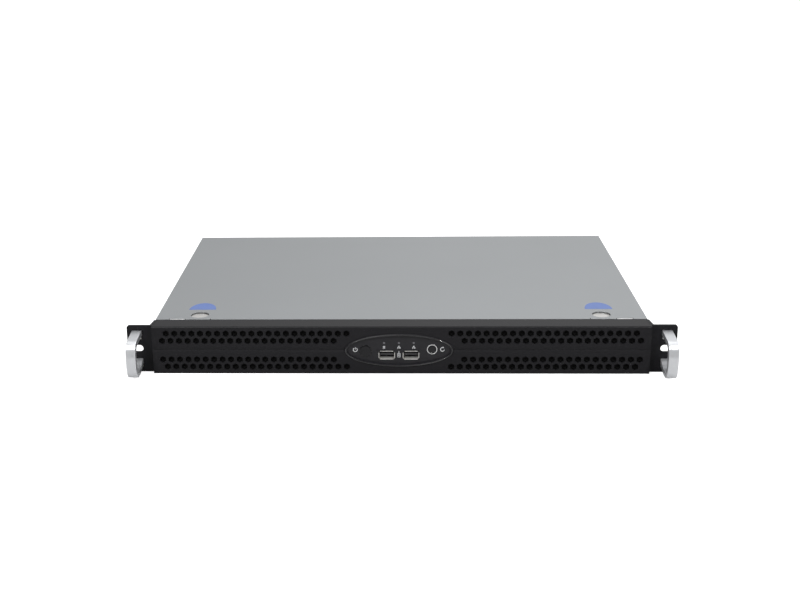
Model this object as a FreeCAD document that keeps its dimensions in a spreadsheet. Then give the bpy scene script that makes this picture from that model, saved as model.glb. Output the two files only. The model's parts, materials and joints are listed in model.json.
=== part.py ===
"""A 1U rack server: folded steel tray and sliding cover, moulded front bezel with a honeycomb
grille, rack ears with pull handles, and the working parts inside. Millimetres; +X right,
+Y to the back, +Z up; the origin lies under the middle of the case's bounding box."""

import FreeCAD
import Part
import math
import os
import Sketcher

SIZES = {
    # folded sheet-metal case
    "case_width": 436.0,
    "case_height": 43.8,
    "case_depth": 300.0,
    "sheet": 1.0,
    "cover_gap": 0.2,
    "cover_skirt": 12.0,
    "rear_skirt": 8.0,
    "end_wall_drop": 3.6,
    "top_flange": 6.0,
    "front_gap": 0.3,
    "seat_gap": 0.3,
    "tongue_centre": 198.5,
    "tongue_width": 15.0,
    "tongue_reach": 6.0,
    "tongue_notch": 2.0,
    "tongue_foot": 5.0,
    "front_vent_width": 26.0,
    "front_vent_height": 30.0,
    "front_vent_pitch": 31.0,
    "front_vent_first": 61.0,
    "cable_window_width": 76.0,
    "cable_window_height": 24.0,
    "rear_vent_width": 3.0,
    "rear_vent_height": 11.0,
    "rear_vent_pitch": 7.0,
    # moulded bezel
    "bezel_overhang": 0.25,
    "bezel_depth": 20.0,
    "bezel_wall": 2.2,
    "bezel_lip": 4.6,
    "bezel_side_gap": 0.3,
    "bezel_round": 1.6,
    "groove_height": 5.0,
    "groove_depth": 0.9,
    "cell_pitch": 7.6,
    "cell_row_pitch": 6.8,
    "cell_flats": 5.3,
    "cell_first": 45.9,
    "cell_edge_margin": 6.4,
    # elliptical control panel
    "panel_long": 95.2,
    "panel_short": 30.6,
    "panel_overlap": 1.0,
    "panel_collar": 1.0,
    "panel_bead": 1.0,
    "panel_recess": 1.2,
    "panel_wall": 2.0,
    "panel_fit": 0.2,
    "bead_bevel": 0.6,
    "power_x": -29.3,
    "power_z": 20.7,
    "power_radius": 5.0,
    "reset_x": 29.1,
    "reset_z": 22.3,
    "reset_radius": 3.6,
    "reset_ring_radius": 4.75,
    "reset_ring_line": 0.8,
    "reset_ring_height": 0.3,
    "button_flange": 1.2,
    "button_flange_thick": 1.0,
    "button_stem": 3.2,
    "button_travel": 0.8,
    "button_proud": 1.4,
    "reset_sunk": 0.4,
    "running_fit": 0.1,
    "lamp_pitch": 13.0,
    "lamp_z": 28.3,
    "lamp_flats": 1.7,
    "usb_spacing": 21.3,
    "usb_z": 16.9,
    "usb_width": 13.1,
    "usb_height": 5.7,
    "usb_lip_width": 14.4,
    "usb_lip_height": 8.0,
    "usb_wall": 0.4,
    "usb_tongue_width": 11.1,
    "usb_tongue_thick": 1.8,
    "panel_board_y": 14.0,
    "panel_board_width": 88.0,
    "panel_board_height": 24.0,
    "board_thick": 1.6,
    "post_spacing": 79.0,
    "post_side": 4.0,
    "switch_side": 6.0,
    "switch_height": 3.5,
    "switch_plunger": 1.0,
    # rack ears and handles
    "ear_reach": 23.3,
    "ear_height": 43.4,
    "ear_plate": 2.5,
    "ear_round": 2.5,
    "ear_block_width": 3.8,
    "ear_block_depth": 8.5,
    "ear_step_width": 2.6,
    "ear_flange_reach": 62.0,
    "ear_flange_bottom": 3.0,
    "ear_flange_height": 27.8,
    "slot_inset": 8.75,
    "slot_length": 10.4,
    "slot_height": 6.5,
    "handle_inset": 9.1,
    "handle_width": 8.8,
    "handle_thick": 4.5,
    "handle_reach": 32.0,
    "handle_top": 39.0,
    "handle_foot": 12.8,
    "handle_low": 3.4,
    "handle_bend": 9.0,
    # cover release buttons
    "release_x": 179.7,
    "release_y": 33.2,
    "release_radius": 7.8,
    "release_hole_radius": 8.1,
    "release_sunk": 0.3,
    "release_thick": 2.0,
    "release_stem": 4.4,
    "release_shelf_drop": 7.3,
    "release_shelf_width": 21.0,
    "release_shelf_depth": 23.0,
    "release_flange_height": 12.0,
    "release_clip": 0.9,
    "spring_reach": 7.0,
    "spring_foot": 2.6,
    "spring_crown": 3.3,
    "spring_width": 9.0,
    "spring_thick": 0.4,
    # motherboard and what it carries
    "board_side": 170.0,
    "board_left": -75.0,
    "board_rear_gap": 3.0,
    "standoff_height": 6.35,
    "standoff_flats": 5.5,
    "board_hole_inset": 6.35,
    "cpu_x": 12.0,
    "cpu_y": 200.0,
    "cpu_side": 37.5,
    "cpu_thick": 4.5,
    "sink_side": 88.0,
    "sink_base": 4.0,
    "sink_height": 26.0,
    "sink_fin": 1.2,
    "sink_fin_pitch": 4.4,
    "sink_fin_count": 17,
    "chip_x": -52.0,
    "chip_y": 160.0,
    "chip_side": 30.0,
    "chip_height": 12.0,
    "chip_fin_count": 7,
    "memory_x": 70.0,
    "memory_pitch": 10.0,
    "memory_y": 205.0,
    "memory_length": 133.4,
    "memory_thick": 1.3,
    "memory_height": 30.0,
    "memory_seat": 1.5,
    "socket_width": 6.5,
    "socket_height": 8.0,
    "socket_end": 5.2,
    "latch_width": 4.2,
    "latch_round": 1.6,
    "latch_height": 15.0,
    "latch_thumb": 3.4,
    "latch_pivot_out": 3.0,
    "latch_pivot_up": 3.6,
    # rear connectors
    "shield_left": -70.5,
    "shield_width": 158.8,
    "shield_height": 34.0,
    "shield_bottom": 5.0,
    "shield_thick": 0.6,
    "port_proud": 0.8,
    "lan_x": -12.0,
    "lan_pitch": 20.0,
    "lan_width": 16.0,
    "lan_height": 13.4,
    "lan_depth": 21.0,
    "lan_plug_width": 11.8,
    "lan_plug_height": 8.2,
    "lan_plug_depth": 14.0,
    "stack_x": 38.0,
    "stack_width": 14.5,
    "stack_height": 15.6,
    "stack_depth": 17.5,
    "stack_plug_height": 5.1,
    "video_x": -48.0,
    "video_width": 31.0,
    "video_height": 12.5,
    "video_shell_width": 17.0,
    "video_shell_height": 8.5,
    "video_depth": 12.0,
    "video_shell_depth": 5.0,
    "nut_flats": 4.8,
    "riser_x": 92.0,
    "riser_y": 150.0,
    "riser_length": 85.0,
    "riser_height": 28.0,
    "blank_left": 104.0,
    "blank_width": 98.0,
    "blank_bottom": 20.0,
    "blank_height": 16.0,
    "blank_margin": 3.0,
    "blank_fold": 5.0,
    # fans
    "fan_side": 40.0,
    "fan_depth": 28.0,
    "fan_wall": 1.0,
    "fan_first_x": -23.0,
    "fan_pitch": 42.0,
    "fan_y": 84.0,
    "fan_hub_radius": 10.5,
    "fan_tip_gap": 0.6,
    "fan_boss": 14.0,
    "fan_strut": 2.4,
    "fan_strut_depth": 3.0,
    "fan_shaft_radius": 1.5,
    "fan_shaft_fit": 0.05,
    "blade_thick": 1.0,
    "blade_lean": 3.0,
    "fan_bracket_margin": 3.0,
    "fan_foot": 10.0,
    "fan_window_edge": 2.5,
    # power supply
    "psu_side_gap": 4.3,
    "psu_width": 81.5,
    "psu_depth": 150.0,
    "psu_height": 39.2,
    "psu_wall": 0.8,
    "psu_fan_side": 36.0,
    "psu_fan_depth": 20.0,
    "psu_fan_inset": 19.5,
    "inlet_inset": 60.0,
    "inlet_width": 27.0,
    "inlet_height": 20.0,
    "inlet_depth": 18.0,
    "inlet_socket_width": 22.0,
    "inlet_socket_height": 14.5,
    "inlet_socket_depth": 15.0,
    "inlet_blade_width": 4.0,
    "inlet_blade_thick": 1.6,
    "inlet_blade_pitch": 7.0,
    "psu_slot_inset": 10.5,
    "psu_board_lift": 3.0,
    "core_height": 24.0,
    "can_radius": 8.4,
    "can_height": 27.0,
    # hard drive
    "drive_left": -208.0,
    "drive_front": 23.6,
    "drive_length": 147.0,
    "drive_width": 101.6,
    "drive_height": 26.1,
    "drive_lift": 4.0,
    "drive_lid_inset": 5.0,
    "drive_lid_step": 0.8,
    "bracket_foot": 4.0,
    # internal cables
    "power_cable_radius": 3.0,
    "data_cable_radius": 1.8,
    "panel_cable_radius": 2.0,
    "plug_height": 10.0,
    "plug_width": 10.0,
    "plug_depth": 8.0,
    "plug_inset": 4.0,
    "small_plug": 7.0,
    "header_depth": 4.0,
    "power_exit": 12.0,
    "cable_lead": 14.0,
}

document = FreeCAD.newDocument("rack_server")
sheet_table = document.addObject("Spreadsheet::Sheet", "Sizes")


class Size:
    """A number together with the spreadsheet formula that gives it."""

    def __init__(self, value, formula):
        self.value = value
        self.formula = formula

    def __add__(self, other):
        return Size(self.value + value(other), f"({self.formula} + {formula(other)})")

    def __radd__(self, other):
        return Size(value(other) + self.value, f"({formula(other)} + {self.formula})")

    def __sub__(self, other):
        return Size(self.value - value(other), f"({self.formula} - {formula(other)})")

    def __rsub__(self, other):
        return Size(value(other) - self.value, f"({formula(other)} - {self.formula})")

    def __mul__(self, other):
        return Size(self.value * value(other), f"({self.formula} * {formula(other)})")

    __rmul__ = __mul__

    def __truediv__(self, other):
        return Size(self.value / value(other), f"({self.formula} / {formula(other)})")

    def __neg__(self):
        return Size(-self.value, f"(0 - {self.formula})")


def value(item):
    return item.value if isinstance(item, Size) else float(item)


def formula(item):
    return item.formula if isinstance(item, Size) else f"{float(item):.9f}"


class Table:
    """The driving sizes, read by name."""

    def __init__(self, sizes):
        for row, (name, number) in enumerate(sizes.items(), 1):
            sheet_table.set(f"A{row}", name)
            sheet_table.set(f"B{row}", str(number))
            sheet_table.setAlias(f"B{row}", name)
            setattr(self, name, Size(float(number), f"Sizes.{name}"))


s = Table(SIZES)
document.recompute()
ZERO = Size(0.0, "0")

half_case = s.case_width / 2
cover_under = s.case_height - s.sheet
tray_half = half_case - s.sheet - s.cover_gap
tray_inner = tray_half - s.sheet
tray_top = cover_under - s.cover_gap
ear_root = tray_half + s.running_fit
ear_tip = half_case + s.ear_reach
wall_top = s.case_height - s.end_wall_drop
floor = s.sheet
front_wall = s.bezel_depth
front_inner = front_wall + s.sheet
rear_inner = s.case_depth - s.sheet
rear_face = s.case_depth + s.cover_gap + s.sheet
ear_front = s.bezel_lip
ear_back = ear_front + s.ear_plate
middle_z = s.case_height / 2
handle_front = ear_front - s.handle_reach
port_face = s.case_depth + s.port_proud
# the part is centred under its bounding box, which runs from the handles to the video connector
shift_y = -(port_face + s.video_shell_depth + handle_front) / 2

GRILLE_CELLS = 22
FRONT_VENTS = 5
REAR_VENTS = 10
LAMP_SIDES = 8
LAN_PORTS = 2
STACKED_PORTS = 2
FANS = 3
FAN_BLADES = 7
BORE_SIDES = 32
PSU_SLOTS = 6
MEMORY_SLOTS = 2
BEND_SHARE = 0.45
BEND_STEPS = 2
BUNDLE_SIDES = 6
MITRED = 1

nodes = {}


# ---- helpers ---------------------------------------------------------------------------------


def bind(thing, terms):
    for path, term in terms.items():
        thing.setExpression(path, formula(term))


def keep(label, thing, x=0.0, y=0.0, z=0.0):
    """Registers a finished sub-part; x, y, z place one that was built about its own origin."""
    nodes[label] = (thing, x, y, z)
    return thing


def box(x0, x1, y0, y1, z0, z1):
    block = document.addObject("Part::Box", "Box")
    bind(block, {"Length": x1 - x0, "Width": y1 - y0, "Height": z1 - z0})
    bind(block, {"Placement.Base.x": x0, "Placement.Base.y": y0, "Placement.Base.z": z0})
    return block


def rod(axis, x, y, z, radius, length):
    """A cylinder from (x, y, z) along +axis."""
    bar = document.addObject("Part::Cylinder", "Rod")
    turns = {"x": ((0, 1, 0), 90), "y": ((1, 0, 0), -90), "z": ((0, 0, 1), 0)}
    direction, angle = turns[axis]
    bar.Placement.Rotation = FreeCAD.Rotation(FreeCAD.Vector(*direction), angle)
    bind(bar, {"Radius": radius, "Height": length})
    bind(bar, {"Placement.Base.x": x, "Placement.Base.y": y, "Placement.Base.z": z})
    return bar


def fuse(shapes):
    union = document.addObject("Part::MultiFuse", "Union")
    union.Shapes = shapes
    union.Refine = True
    return union


def cut(base, tools):
    difference = document.addObject("Part::Cut", "Difference")
    difference.Base = base
    difference.Tool = tools[0] if len(tools) == 1 else fuse(tools)
    difference.Refine = True
    return difference


def group(shapes):
    compound = document.addObject("Part::Compound", "Group")
    compound.Links = shapes
    return compound


def origin_feature(body, role):
    return next(item for item in body.Origin.OriginFeatures if item.Role == role)


def new_body(name):
    body = document.addObject("PartDesign::Body", name)
    body.AllowCompound = True
    return body


def sketch_on(body, plane, level):
    """A sketch parallel to an origin plane, at the given X, Y or Z level."""
    sketch = body.newObject("Sketcher::SketchObject", "Sketch")
    sketch.AttachmentSupport = [(origin_feature(body, plane + "_Plane"), "")]
    sketch.MapMode = "FlatFace"
    sign = -1 if plane == "XZ" else 1
    bind(sketch, {"AttachmentOffset.Base.z": sign * Size(value(level), formula(level))})
    return sketch


def point_rules(element, point, x, y):
    """Constraints, each with its size, that hold a point of the sketch at (x, y)."""
    return [(Sketcher.Constraint(kind, -1, 1, element, point, value(term)), term)
            for kind, term in (("DistanceX", x), ("DistanceY", y))]


def draw_loops(sketch, loops):
    """Draws each loop and binds its sizes; the constraints go in together, so they solve once."""
    rules = []
    for draw in loops:
        rules.extend(draw(sketch))
    numbers = sketch.addConstraint([rule for rule, term in rules])
    for number, (rule, term) in zip(numbers, rules):
        if term is not None:
            sketch.setExpression(f"Constraints[{number}]", formula(term))


def outline(points):
    def draw(sketch):
        corners = [FreeCAD.Vector(value(x), value(y), 0) for x, y in points]
        lines = [sketch.addGeometry(Part.LineSegment(start, end), False)
                 for start, end in zip(corners, corners[1:] + corners[:1])]
        rules = [(Sketcher.Constraint("Coincident", line, 2, following, 1), None)
                 for line, following in zip(lines, lines[1:] + lines[:1])]
        for line, (x, y) in zip(lines, points):
            rules.extend(point_rules(line, 1, x, y))
        return rules
    return draw


def rectangle(x0, x1, y0, y1):
    return outline([(x0, y0), (x1, y0), (x1, y1), (x0, y1)])


def disc(x, y, radius):
    def draw(sketch):
        centre = FreeCAD.Vector(value(x), value(y), 0)
        circle = Part.Circle(centre, FreeCAD.Vector(0, 0, 1), value(radius))
        element = sketch.addGeometry(circle, False)
        size_rule = Sketcher.Constraint("Radius", element, value(radius))
        return point_rules(element, 3, x, y) + [(size_rule, radius)]
    return draw


def oval(x, y, long_axis, short_axis):
    """An upright ellipse, wider than it is high."""
    def draw(sketch):
        centre = FreeCAD.Vector(value(x), value(y), 0)
        curve = Part.Ellipse(centre, value(long_axis) / 2, value(short_axis) / 2)
        element = sketch.addGeometry(curve, False)
        sketch.exposeInternalGeometry(element)
        rules = point_rules(element, 3, x, y)
        rules.append((Sketcher.Constraint("Horizontal", element + 1), None))
        for axis, length in ((element + 1, long_axis), (element + 2, short_axis)):
            rules.append((Sketcher.Constraint("Distance", axis, value(length)), length))
        return rules
    return draw


def polygon(x, y, across_flats, sides, turn=0.0):
    """A regular polygon; turn is the direction of its first corner in degrees."""
    radius = across_flats / (2 * math.cos(math.pi / sides))
    corners = [math.radians(turn) + 2 * math.pi * number / sides for number in range(sides)]
    return outline([(x + radius * math.cos(angle), y + radius * math.sin(angle))
                    for angle in corners])


def hexagon(x, y, across_flats):
    """A hexagon standing on one corner."""
    return polygon(x, y, across_flats, 6, 30.0)


def layer(body, plane, low, high, loops, remove=False):
    """Pads or pockets the loops from one level to a higher one along the plane's axis."""
    before = body.Shape.Volume if remove else 0.0
    sketch = sketch_on(body, plane, low)
    draw_loops(sketch, loops)
    kind = "PartDesign::Pocket" if remove else "PartDesign::Pad"
    feature = body.newObject(kind, "Layer")
    feature.Profile = sketch
    bind(feature, {"Length": high - low})
    feature.Reversed = (plane == "XZ") != remove
    document.recompute()
    if remove and not body.Shape.Volume < before:
        raise ValueError(f"a pocket in {body.Name} removes nothing")
    return feature


def round_edges(body, radius, chosen):
    """Rounds the edges of the body's tip that the chooser accepts."""
    names = [f"Edge{number}" for number, edge in enumerate(body.Shape.Edges, 1) if chosen(edge)]
    tip = body.Tip
    feature = body.newObject("PartDesign::Fillet", "Rounding")
    feature.Base = (tip, names)
    bind(feature, {"Radius": radius})
    document.recompute()
    return feature


def flare(body, sections, remove=False):
    """A straight-sided loft along Y between loops, each given with its level."""
    sketches = []
    for level, loop in sections:
        sketch = sketch_on(body, "XZ", level)
        draw_loops(sketch, [loop])
        sketches.append(sketch)
    kind = "PartDesign::SubtractiveLoft" if remove else "PartDesign::AdditiveLoft"
    loft = body.newObject(kind, "Flare")
    loft.Profile = sketches[0]
    loft.Sections = sketches[1:]
    loft.Ruled = True
    document.recompute()
    return loft


def near(first, second):
    return abs(value(first) - value(second)) < 0.01


def edge_runs(edge, axis):
    """True for a straight edge along the axis."""
    if len(edge.Vertexes) != 2 or edge.Curve.TypeId != "Part::GeomLine":
        return False
    run = edge.Vertexes[1].Point - edge.Vertexes[0].Point
    return abs(abs(getattr(run, axis)) - edge.Length) < 0.001


def edge_at(edge, axis, level):
    """True when the whole edge lies at one X, Y or Z level."""
    limits = edge.BoundBox
    low = getattr(limits, axis.upper() + "Min")
    high = getattr(limits, axis.upper() + "Max")
    return near(low, level) and near(high, level)


def row_of(body, feature, spacing, count, role="X_Axis"):
    pattern = body.newObject("PartDesign::LinearPattern", "Row")
    pattern.Originals = [feature]
    pattern.Direction = (origin_feature(body, role), [""])
    bind(pattern, {"Length": spacing * (count - 1), "Occurrences": count})
    body.Tip = pattern
    document.recompute()
    return pattern


def bends(points):
    """The centre line of a cable, with each corner cut into short straight steps."""
    corners = [FreeCAD.Vector(*(value(term) for term in point)) for point in points]
    line = [corners[0]]
    for before, corner, after in zip(corners, corners[1:], corners[2:]):
        reach = BEND_SHARE * min((before - corner).Length, (after - corner).Length)
        start = corner + (before - corner).normalize() * reach
        end = corner + (after - corner).normalize() * reach
        for step in range(BEND_STEPS + 1):
            share = step / BEND_STEPS
            line.append(start * (1 - share) ** 2 + corner * 2 * share * (1 - share)
                        + end * share ** 2)
    return line + [corners[-1]]


def bundle(points, radius):
    """A wrapped bundle of wires: a six-sided section swept with mitred corners."""
    line = bends(points)
    path = Part.makePolygon(line)
    along = (line[1] - line[0]).normalize()
    across = along.cross(FreeCAD.Vector(0, 0, 1)).normalize()
    up = across.cross(along)
    turns = [2 * math.pi * number / BUNDLE_SIDES for number in range(BUNDLE_SIDES + 1)]
    ring = [line[0] + (across * math.cos(turn) + up * math.sin(turn)) * value(radius)
            for turn in turns]
    cable = document.addObject("Part::Feature", "Cable")
    cable.Shape = path.makePipeShell([Part.makePolygon(ring)], True, True, MITRED)
    return cable


# ---- case ------------------------------------------------------------------------------------


def chassis_base():
    body = new_body("Tray")
    section = [(-tray_half, 0), (tray_half, 0), (tray_half, tray_top),
               (tray_half - s.top_flange, tray_top), (tray_half - s.top_flange, tray_top - s.sheet),
               (tray_inner, tray_top - s.sheet), (tray_inner, floor), (-tray_inner, floor),
               (-tray_inner, tray_top - s.sheet), (s.top_flange - tray_half, tray_top - s.sheet),
               (s.top_flange - tray_half, tray_top), (-tray_half, tray_top)]
    layer(body, "XZ", front_wall, s.case_depth, [outline(section)])
    for inner in (front_wall, rear_inner):
        wall = rectangle(-tray_inner, tray_inner, floor, wall_top)
        layer(body, "XZ", inner, inner + s.sheet, [wall])
    vents = []
    low = middle_z - s.front_vent_height / 2
    for side in (-1, 1):
        for column in range(FRONT_VENTS):
            left = side * (s.front_vent_first + column * s.front_vent_pitch) - s.front_vent_width / 2
            vents.append(rectangle(left, left + s.front_vent_width, low, low + s.front_vent_height))
    window = s.cable_window_height / 2
    vents.append(rectangle(-s.cable_window_width / 2, s.cable_window_width / 2,
                           middle_z - window, middle_z + window))
    layer(body, "XZ", front_wall, front_inner, vents, remove=True)
    openings = [
        rectangle(psu_left + s.blank_margin, psu_left + s.psu_width - s.blank_margin,
                  floor + s.blank_margin, floor + s.psu_height - s.blank_margin),
        rectangle(s.shield_left + s.blank_margin, s.shield_left + s.shield_width - s.blank_margin,
                  s.shield_bottom + s.blank_margin,
                  s.shield_bottom + s.shield_height - s.blank_margin),
        rectangle(s.blank_left, s.blank_left + s.blank_width,
                  s.blank_bottom, s.blank_bottom + s.blank_height)]
    for column in range(REAR_VENTS):
        left = s.blank_left + column * s.rear_vent_pitch
        openings.append(rectangle(left, left + s.rear_vent_width, floor + s.blank_margin,
                                  floor + s.blank_margin + s.rear_vent_height))
    layer(body, "XZ", rear_inner, s.case_depth, openings, remove=True)
    keep("chassis_base", body)


def top_cover():
    body = new_body("Cover")
    skirt = s.case_height - s.cover_skirt
    section = [(-half_case, skirt), (-half_case, s.case_height), (half_case, s.case_height),
               (half_case, skirt), (half_case - s.sheet, skirt), (half_case - s.sheet, cover_under),
               (s.sheet - half_case, cover_under), (s.sheet - half_case, skirt)]
    layer(body, "XZ", cover_front, rear_face, [outline(section)])
    flange = rectangle(s.sheet - half_case, half_case - s.sheet,
                       s.case_height - s.rear_skirt, cover_under)
    layer(body, "XZ", rear_face - s.sheet, rear_face, [flange])
    holes = [disc(side * s.release_x, s.release_y, s.release_hole_radius) for side in (-1, 1)]
    layer(body, "XY", cover_under, s.case_height, holes, remove=True)
    notches = []
    clips = []
    tongue_top = s.case_height - s.bezel_wall - s.cover_gap
    notch_back = cover_front + s.tongue_notch
    foot_back = notch_back + s.tongue_foot
    clip_section = [(front_wall - s.tongue_reach, tongue_top - s.sheet),
                    (front_wall - s.tongue_reach, tongue_top), (notch_back, tongue_top),
                    (notch_back, cover_under), (foot_back, cover_under),
                    (foot_back, cover_under - s.sheet), (notch_back + s.sheet, cover_under - s.sheet),
                    (notch_back + s.sheet, tongue_top - s.sheet)]
    for side in (-1, 1):
        left = side * s.tongue_centre - s.tongue_width / 2
        right = left + s.tongue_width
        notches.append(rectangle(left, right, cover_front, notch_back))
        clip = new_body("TongueClip")
        layer(clip, "YZ", left, right, [outline(clip_section)])
        clips.append(clip)
    layer(body, "XY", cover_under, s.case_height, notches, remove=True)
    keep("top_cover", group([body] + clips))


# ---- bezel and control panel -----------------------------------------------------------------


def front_bezel():
    body = new_body("Bezel")
    half_lip = half_case + s.bezel_overhang
    half_body = ear_root - s.bezel_side_gap
    layer(body, "XZ", ZERO, s.bezel_lip,
          [rectangle(-half_lip, half_lip, 0, s.case_height)])
    layer(body, "XZ", s.bezel_lip, s.bezel_depth,
          [rectangle(-half_body, half_body, 0, s.case_height)])
    round_edges(body, s.bezel_round, lambda edge: edge_runs(edge, "x")
                and edge_at(edge, "z", s.case_height) and edge_at(edge, "y", 0))
    hollow = half_body - s.bezel_wall
    layer(body, "XZ", s.bezel_wall, s.bezel_depth,
          [rectangle(-hollow, hollow, s.bezel_wall, s.case_height - s.bezel_wall)], remove=True)
    trough = outline([(0, middle_z - s.groove_height / 2), (0, middle_z + s.groove_height / 2),
                      (s.groove_depth, middle_z)])
    layer(body, "YZ", -half_lip, half_lip, [trough], remove=True)
    aperture_long = s.panel_long - 2 * s.panel_overlap + s.panel_fit
    aperture_short = s.panel_short - 2 * s.panel_overlap + s.panel_fit
    layer(body, "XZ", ZERO, s.bezel_wall,
          [oval(0, middle_z, aperture_long, aperture_short)], remove=True)
    keep("front_bezel", cut(body, [group(grille_cells())]))


def grille_cells():
    """The honeycomb on both sides of the panel: long rows outside, short staggered rows inside."""
    margin = s.cell_edge_margin
    step = s.cell_row_pitch
    rows = [(margin, s.cell_first, GRILLE_CELLS), (s.case_height - margin, s.cell_first, GRILLE_CELLS),
            (margin + step, s.cell_first + s.cell_pitch * 3 / 2, GRILLE_CELLS - 1),
            (s.case_height - margin - step, s.cell_first + s.cell_pitch * 3 / 2, GRILLE_CELLS - 1)]
    cells = []
    for z, first, count in rows:
        for number in range(count):
            for side in (-1, 1):
                cells.append(cell(side * (first + number * s.cell_pitch), z))
    return cells


def cell(x, z):
    """A six-sided plug through the bezel's face, standing on one corner."""
    plug = document.addObject("Part::Prism", "Cell")
    plug.Polygon = 6
    upright = FreeCAD.Rotation(FreeCAD.Vector(1, 0, 0), -90)
    plug.Placement.Rotation = upright * FreeCAD.Rotation(FreeCAD.Vector(0, 0, 1), 30)
    bind(plug, {"Circumradius": s.cell_flats / math.sqrt(3.0), "Height": s.bezel_wall})
    bind(plug, {"Placement.Base.x": x, "Placement.Base.z": z})
    return plug


def control_panel():
    body = new_body("Panel")
    neck_long = s.panel_long - 2 * s.panel_overlap
    neck_short = s.panel_short - 2 * s.panel_overlap
    dish_long = neck_long - 2 * s.panel_collar
    dish_short = neck_short - 2 * s.panel_collar
    bevel = s.bead_bevel
    bead_front = -s.panel_bead
    flare(body, [(ZERO, oval(0, middle_z, s.panel_long, s.panel_short)),
                 (bead_front, oval(0, middle_z, s.panel_long - 2 * bevel,
                                   s.panel_short - 2 * bevel))])
    layer(body, "XZ", ZERO, panel_back, [oval(0, middle_z, neck_long, neck_short)])
    flare(body, [(bead_front, oval(0, middle_z, dish_long + bevel, dish_short + bevel)),
                 (s.panel_recess, oval(0, middle_z, dish_long - bevel, dish_short - bevel))],
          remove=True)
    ring = [disc(s.reset_x, s.reset_z, s.reset_ring_radius)]
    layer(body, "XZ", s.panel_recess - s.reset_ring_height, s.panel_recess, ring)
    layer(body, "XZ", s.panel_recess - s.reset_ring_height, panel_back,
          [disc(s.reset_x, s.reset_z, s.reset_ring_radius - s.reset_ring_line)], remove=True)
    holes = [disc(s.power_x, s.power_z, s.power_radius + s.running_fit)]
    for number in (-1, 0, 1):
        holes.append(polygon(number * s.lamp_pitch, s.lamp_z, s.lamp_flats + 2 * s.running_fit,
                             LAMP_SIDES))
    for side in (-1, 1):
        left = side * s.usb_spacing / 2 - s.usb_lip_width / 2 - s.panel_fit
        low = s.usb_z - s.usb_lip_height / 2 - s.panel_fit
        holes.append(rectangle(left, left + s.usb_lip_width + 2 * s.panel_fit,
                               low, low + s.usb_lip_height + 2 * s.panel_fit))
    layer(body, "XZ", s.panel_recess, panel_back, holes, remove=True)
    half = s.post_side / 2
    posts = [rectangle(side * s.post_spacing / 2 - half, side * s.post_spacing / 2 + half,
                       middle_z - half, middle_z + half) for side in (-1, 1)]
    layer(body, "XZ", panel_back, s.panel_board_y, posts)
    keep("control_panel", body)


def push_button(label, x, z, radius, front):
    """A round cap on a square flange, with a square stem behind it."""
    body = new_body("Plunger")
    flange_front = panel_back + s.seat_gap
    flange_back = flange_front + s.button_flange_thick
    stem_end = switch_face - s.button_travel - s.running_fit
    layer(body, "XZ", front, flange_front, [disc(ZERO, ZERO, radius)])
    for half, start, end in ((radius + s.button_flange, flange_front, flange_back),
                             (s.button_stem / 2, flange_back, stem_end)):
        layer(body, "XZ", start, end, [rectangle(-half, half, -half, half)])
    keep(label, body, x, 0.0, z)


def buttons():
    push_button("power_button", s.power_x, s.power_z, s.power_radius,
                s.panel_recess - s.button_proud)
    push_button("reset_button", s.reset_x, s.reset_z, s.reset_radius,
                s.panel_recess + s.reset_sunk - s.reset_ring_height)


def led_lenses():
    body = new_body("Lamps")
    front = s.panel_recess - s.running_fit
    layer(body, "XZ", front, s.panel_board_y,
          [polygon(number * s.lamp_pitch, s.lamp_z, s.lamp_flats, LAMP_SIDES)
           for number in (-1, 0, 1)])
    keep("led_lenses", body)


def usb_shell(x):
    """A square tube with lips flared at the mouth."""
    outer = usb_form(x, ZERO)
    inner = usb_form(x, s.usb_wall)
    return cut(outer, [inner])


def usb_form(x, inset):
    """The solid outline of the shell, drawn in by the inset."""
    mouth = s.panel_recess - s.reset_ring_height
    wide = s.usb_width / 2 - inset
    high = s.usb_height / 2 - inset
    lip_wide = s.usb_lip_width / 2 - inset
    lip_high = s.usb_lip_height / 2 - inset
    lips = document.addObject("Part::Wedge", "Lips")
    bind(lips, {"Xmin": -lip_wide, "Xmax": lip_wide, "Zmin": -lip_high, "Zmax": lip_high,
                "X2min": -wide, "X2max": wide, "Z2min": -high, "Z2max": high,
                "Ymin": mouth, "Ymax": panel_back})
    bind(lips, {"Placement.Base.x": x, "Placement.Base.z": s.usb_z})
    tube = box(x - wide, x + wide, panel_back, s.panel_board_y, s.usb_z - high, s.usb_z + high)
    return fuse([lips, tube])


def usb_tongue(x):
    base_front = s.panel_board_y - 2 * s.board_thick
    inner_wide = s.usb_width / 2 - s.usb_wall
    inner_high = s.usb_height / 2 - s.usb_wall
    base = box(x - inner_wide, x + inner_wide, base_front, s.panel_board_y,
               s.usb_z - inner_high, s.usb_z + inner_high)
    tip = box(x - s.usb_tongue_width / 2, x + s.usb_tongue_width / 2,
              s.panel_recess + s.panel_wall / 2, base_front,
              s.usb_z + inner_high / 3 - s.usb_tongue_thick / 2,
              s.usb_z + inner_high / 3 + s.usb_tongue_thick / 2)
    return fuse([base, tip])


def front_electronics():
    places = [side * s.usb_spacing / 2 for side in (-1, 1)]
    keep("front_usb_shells", group([usb_shell(x) for x in places]))
    keep("front_usb_tongues", group([usb_tongue(x) for x in places]))
    half_wide = s.panel_board_width / 2
    half_high = s.panel_board_height / 2
    keep("front_io_board", group([box(
        -half_wide, half_wide, s.panel_board_y, s.panel_board_y + s.board_thick,
        middle_z - half_high, middle_z + half_high)]))
    switches = []
    half = s.switch_side / 2
    for x, z in ((s.power_x, s.power_z), (s.reset_x, s.reset_z)):
        case = box(x - half, x + half, s.panel_board_y - s.switch_height, s.panel_board_y,
                   z - half, z + half)
        tip = s.button_stem / 2
        plunger = box(x - tip, x + tip, switch_face, switch_face + s.switch_plunger,
                      z - tip, z + tip)
        switches.append(fuse([case, plunger]))
    keep("button_switches", group(switches))


# ---- rack ears and handles -------------------------------------------------------------------


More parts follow.
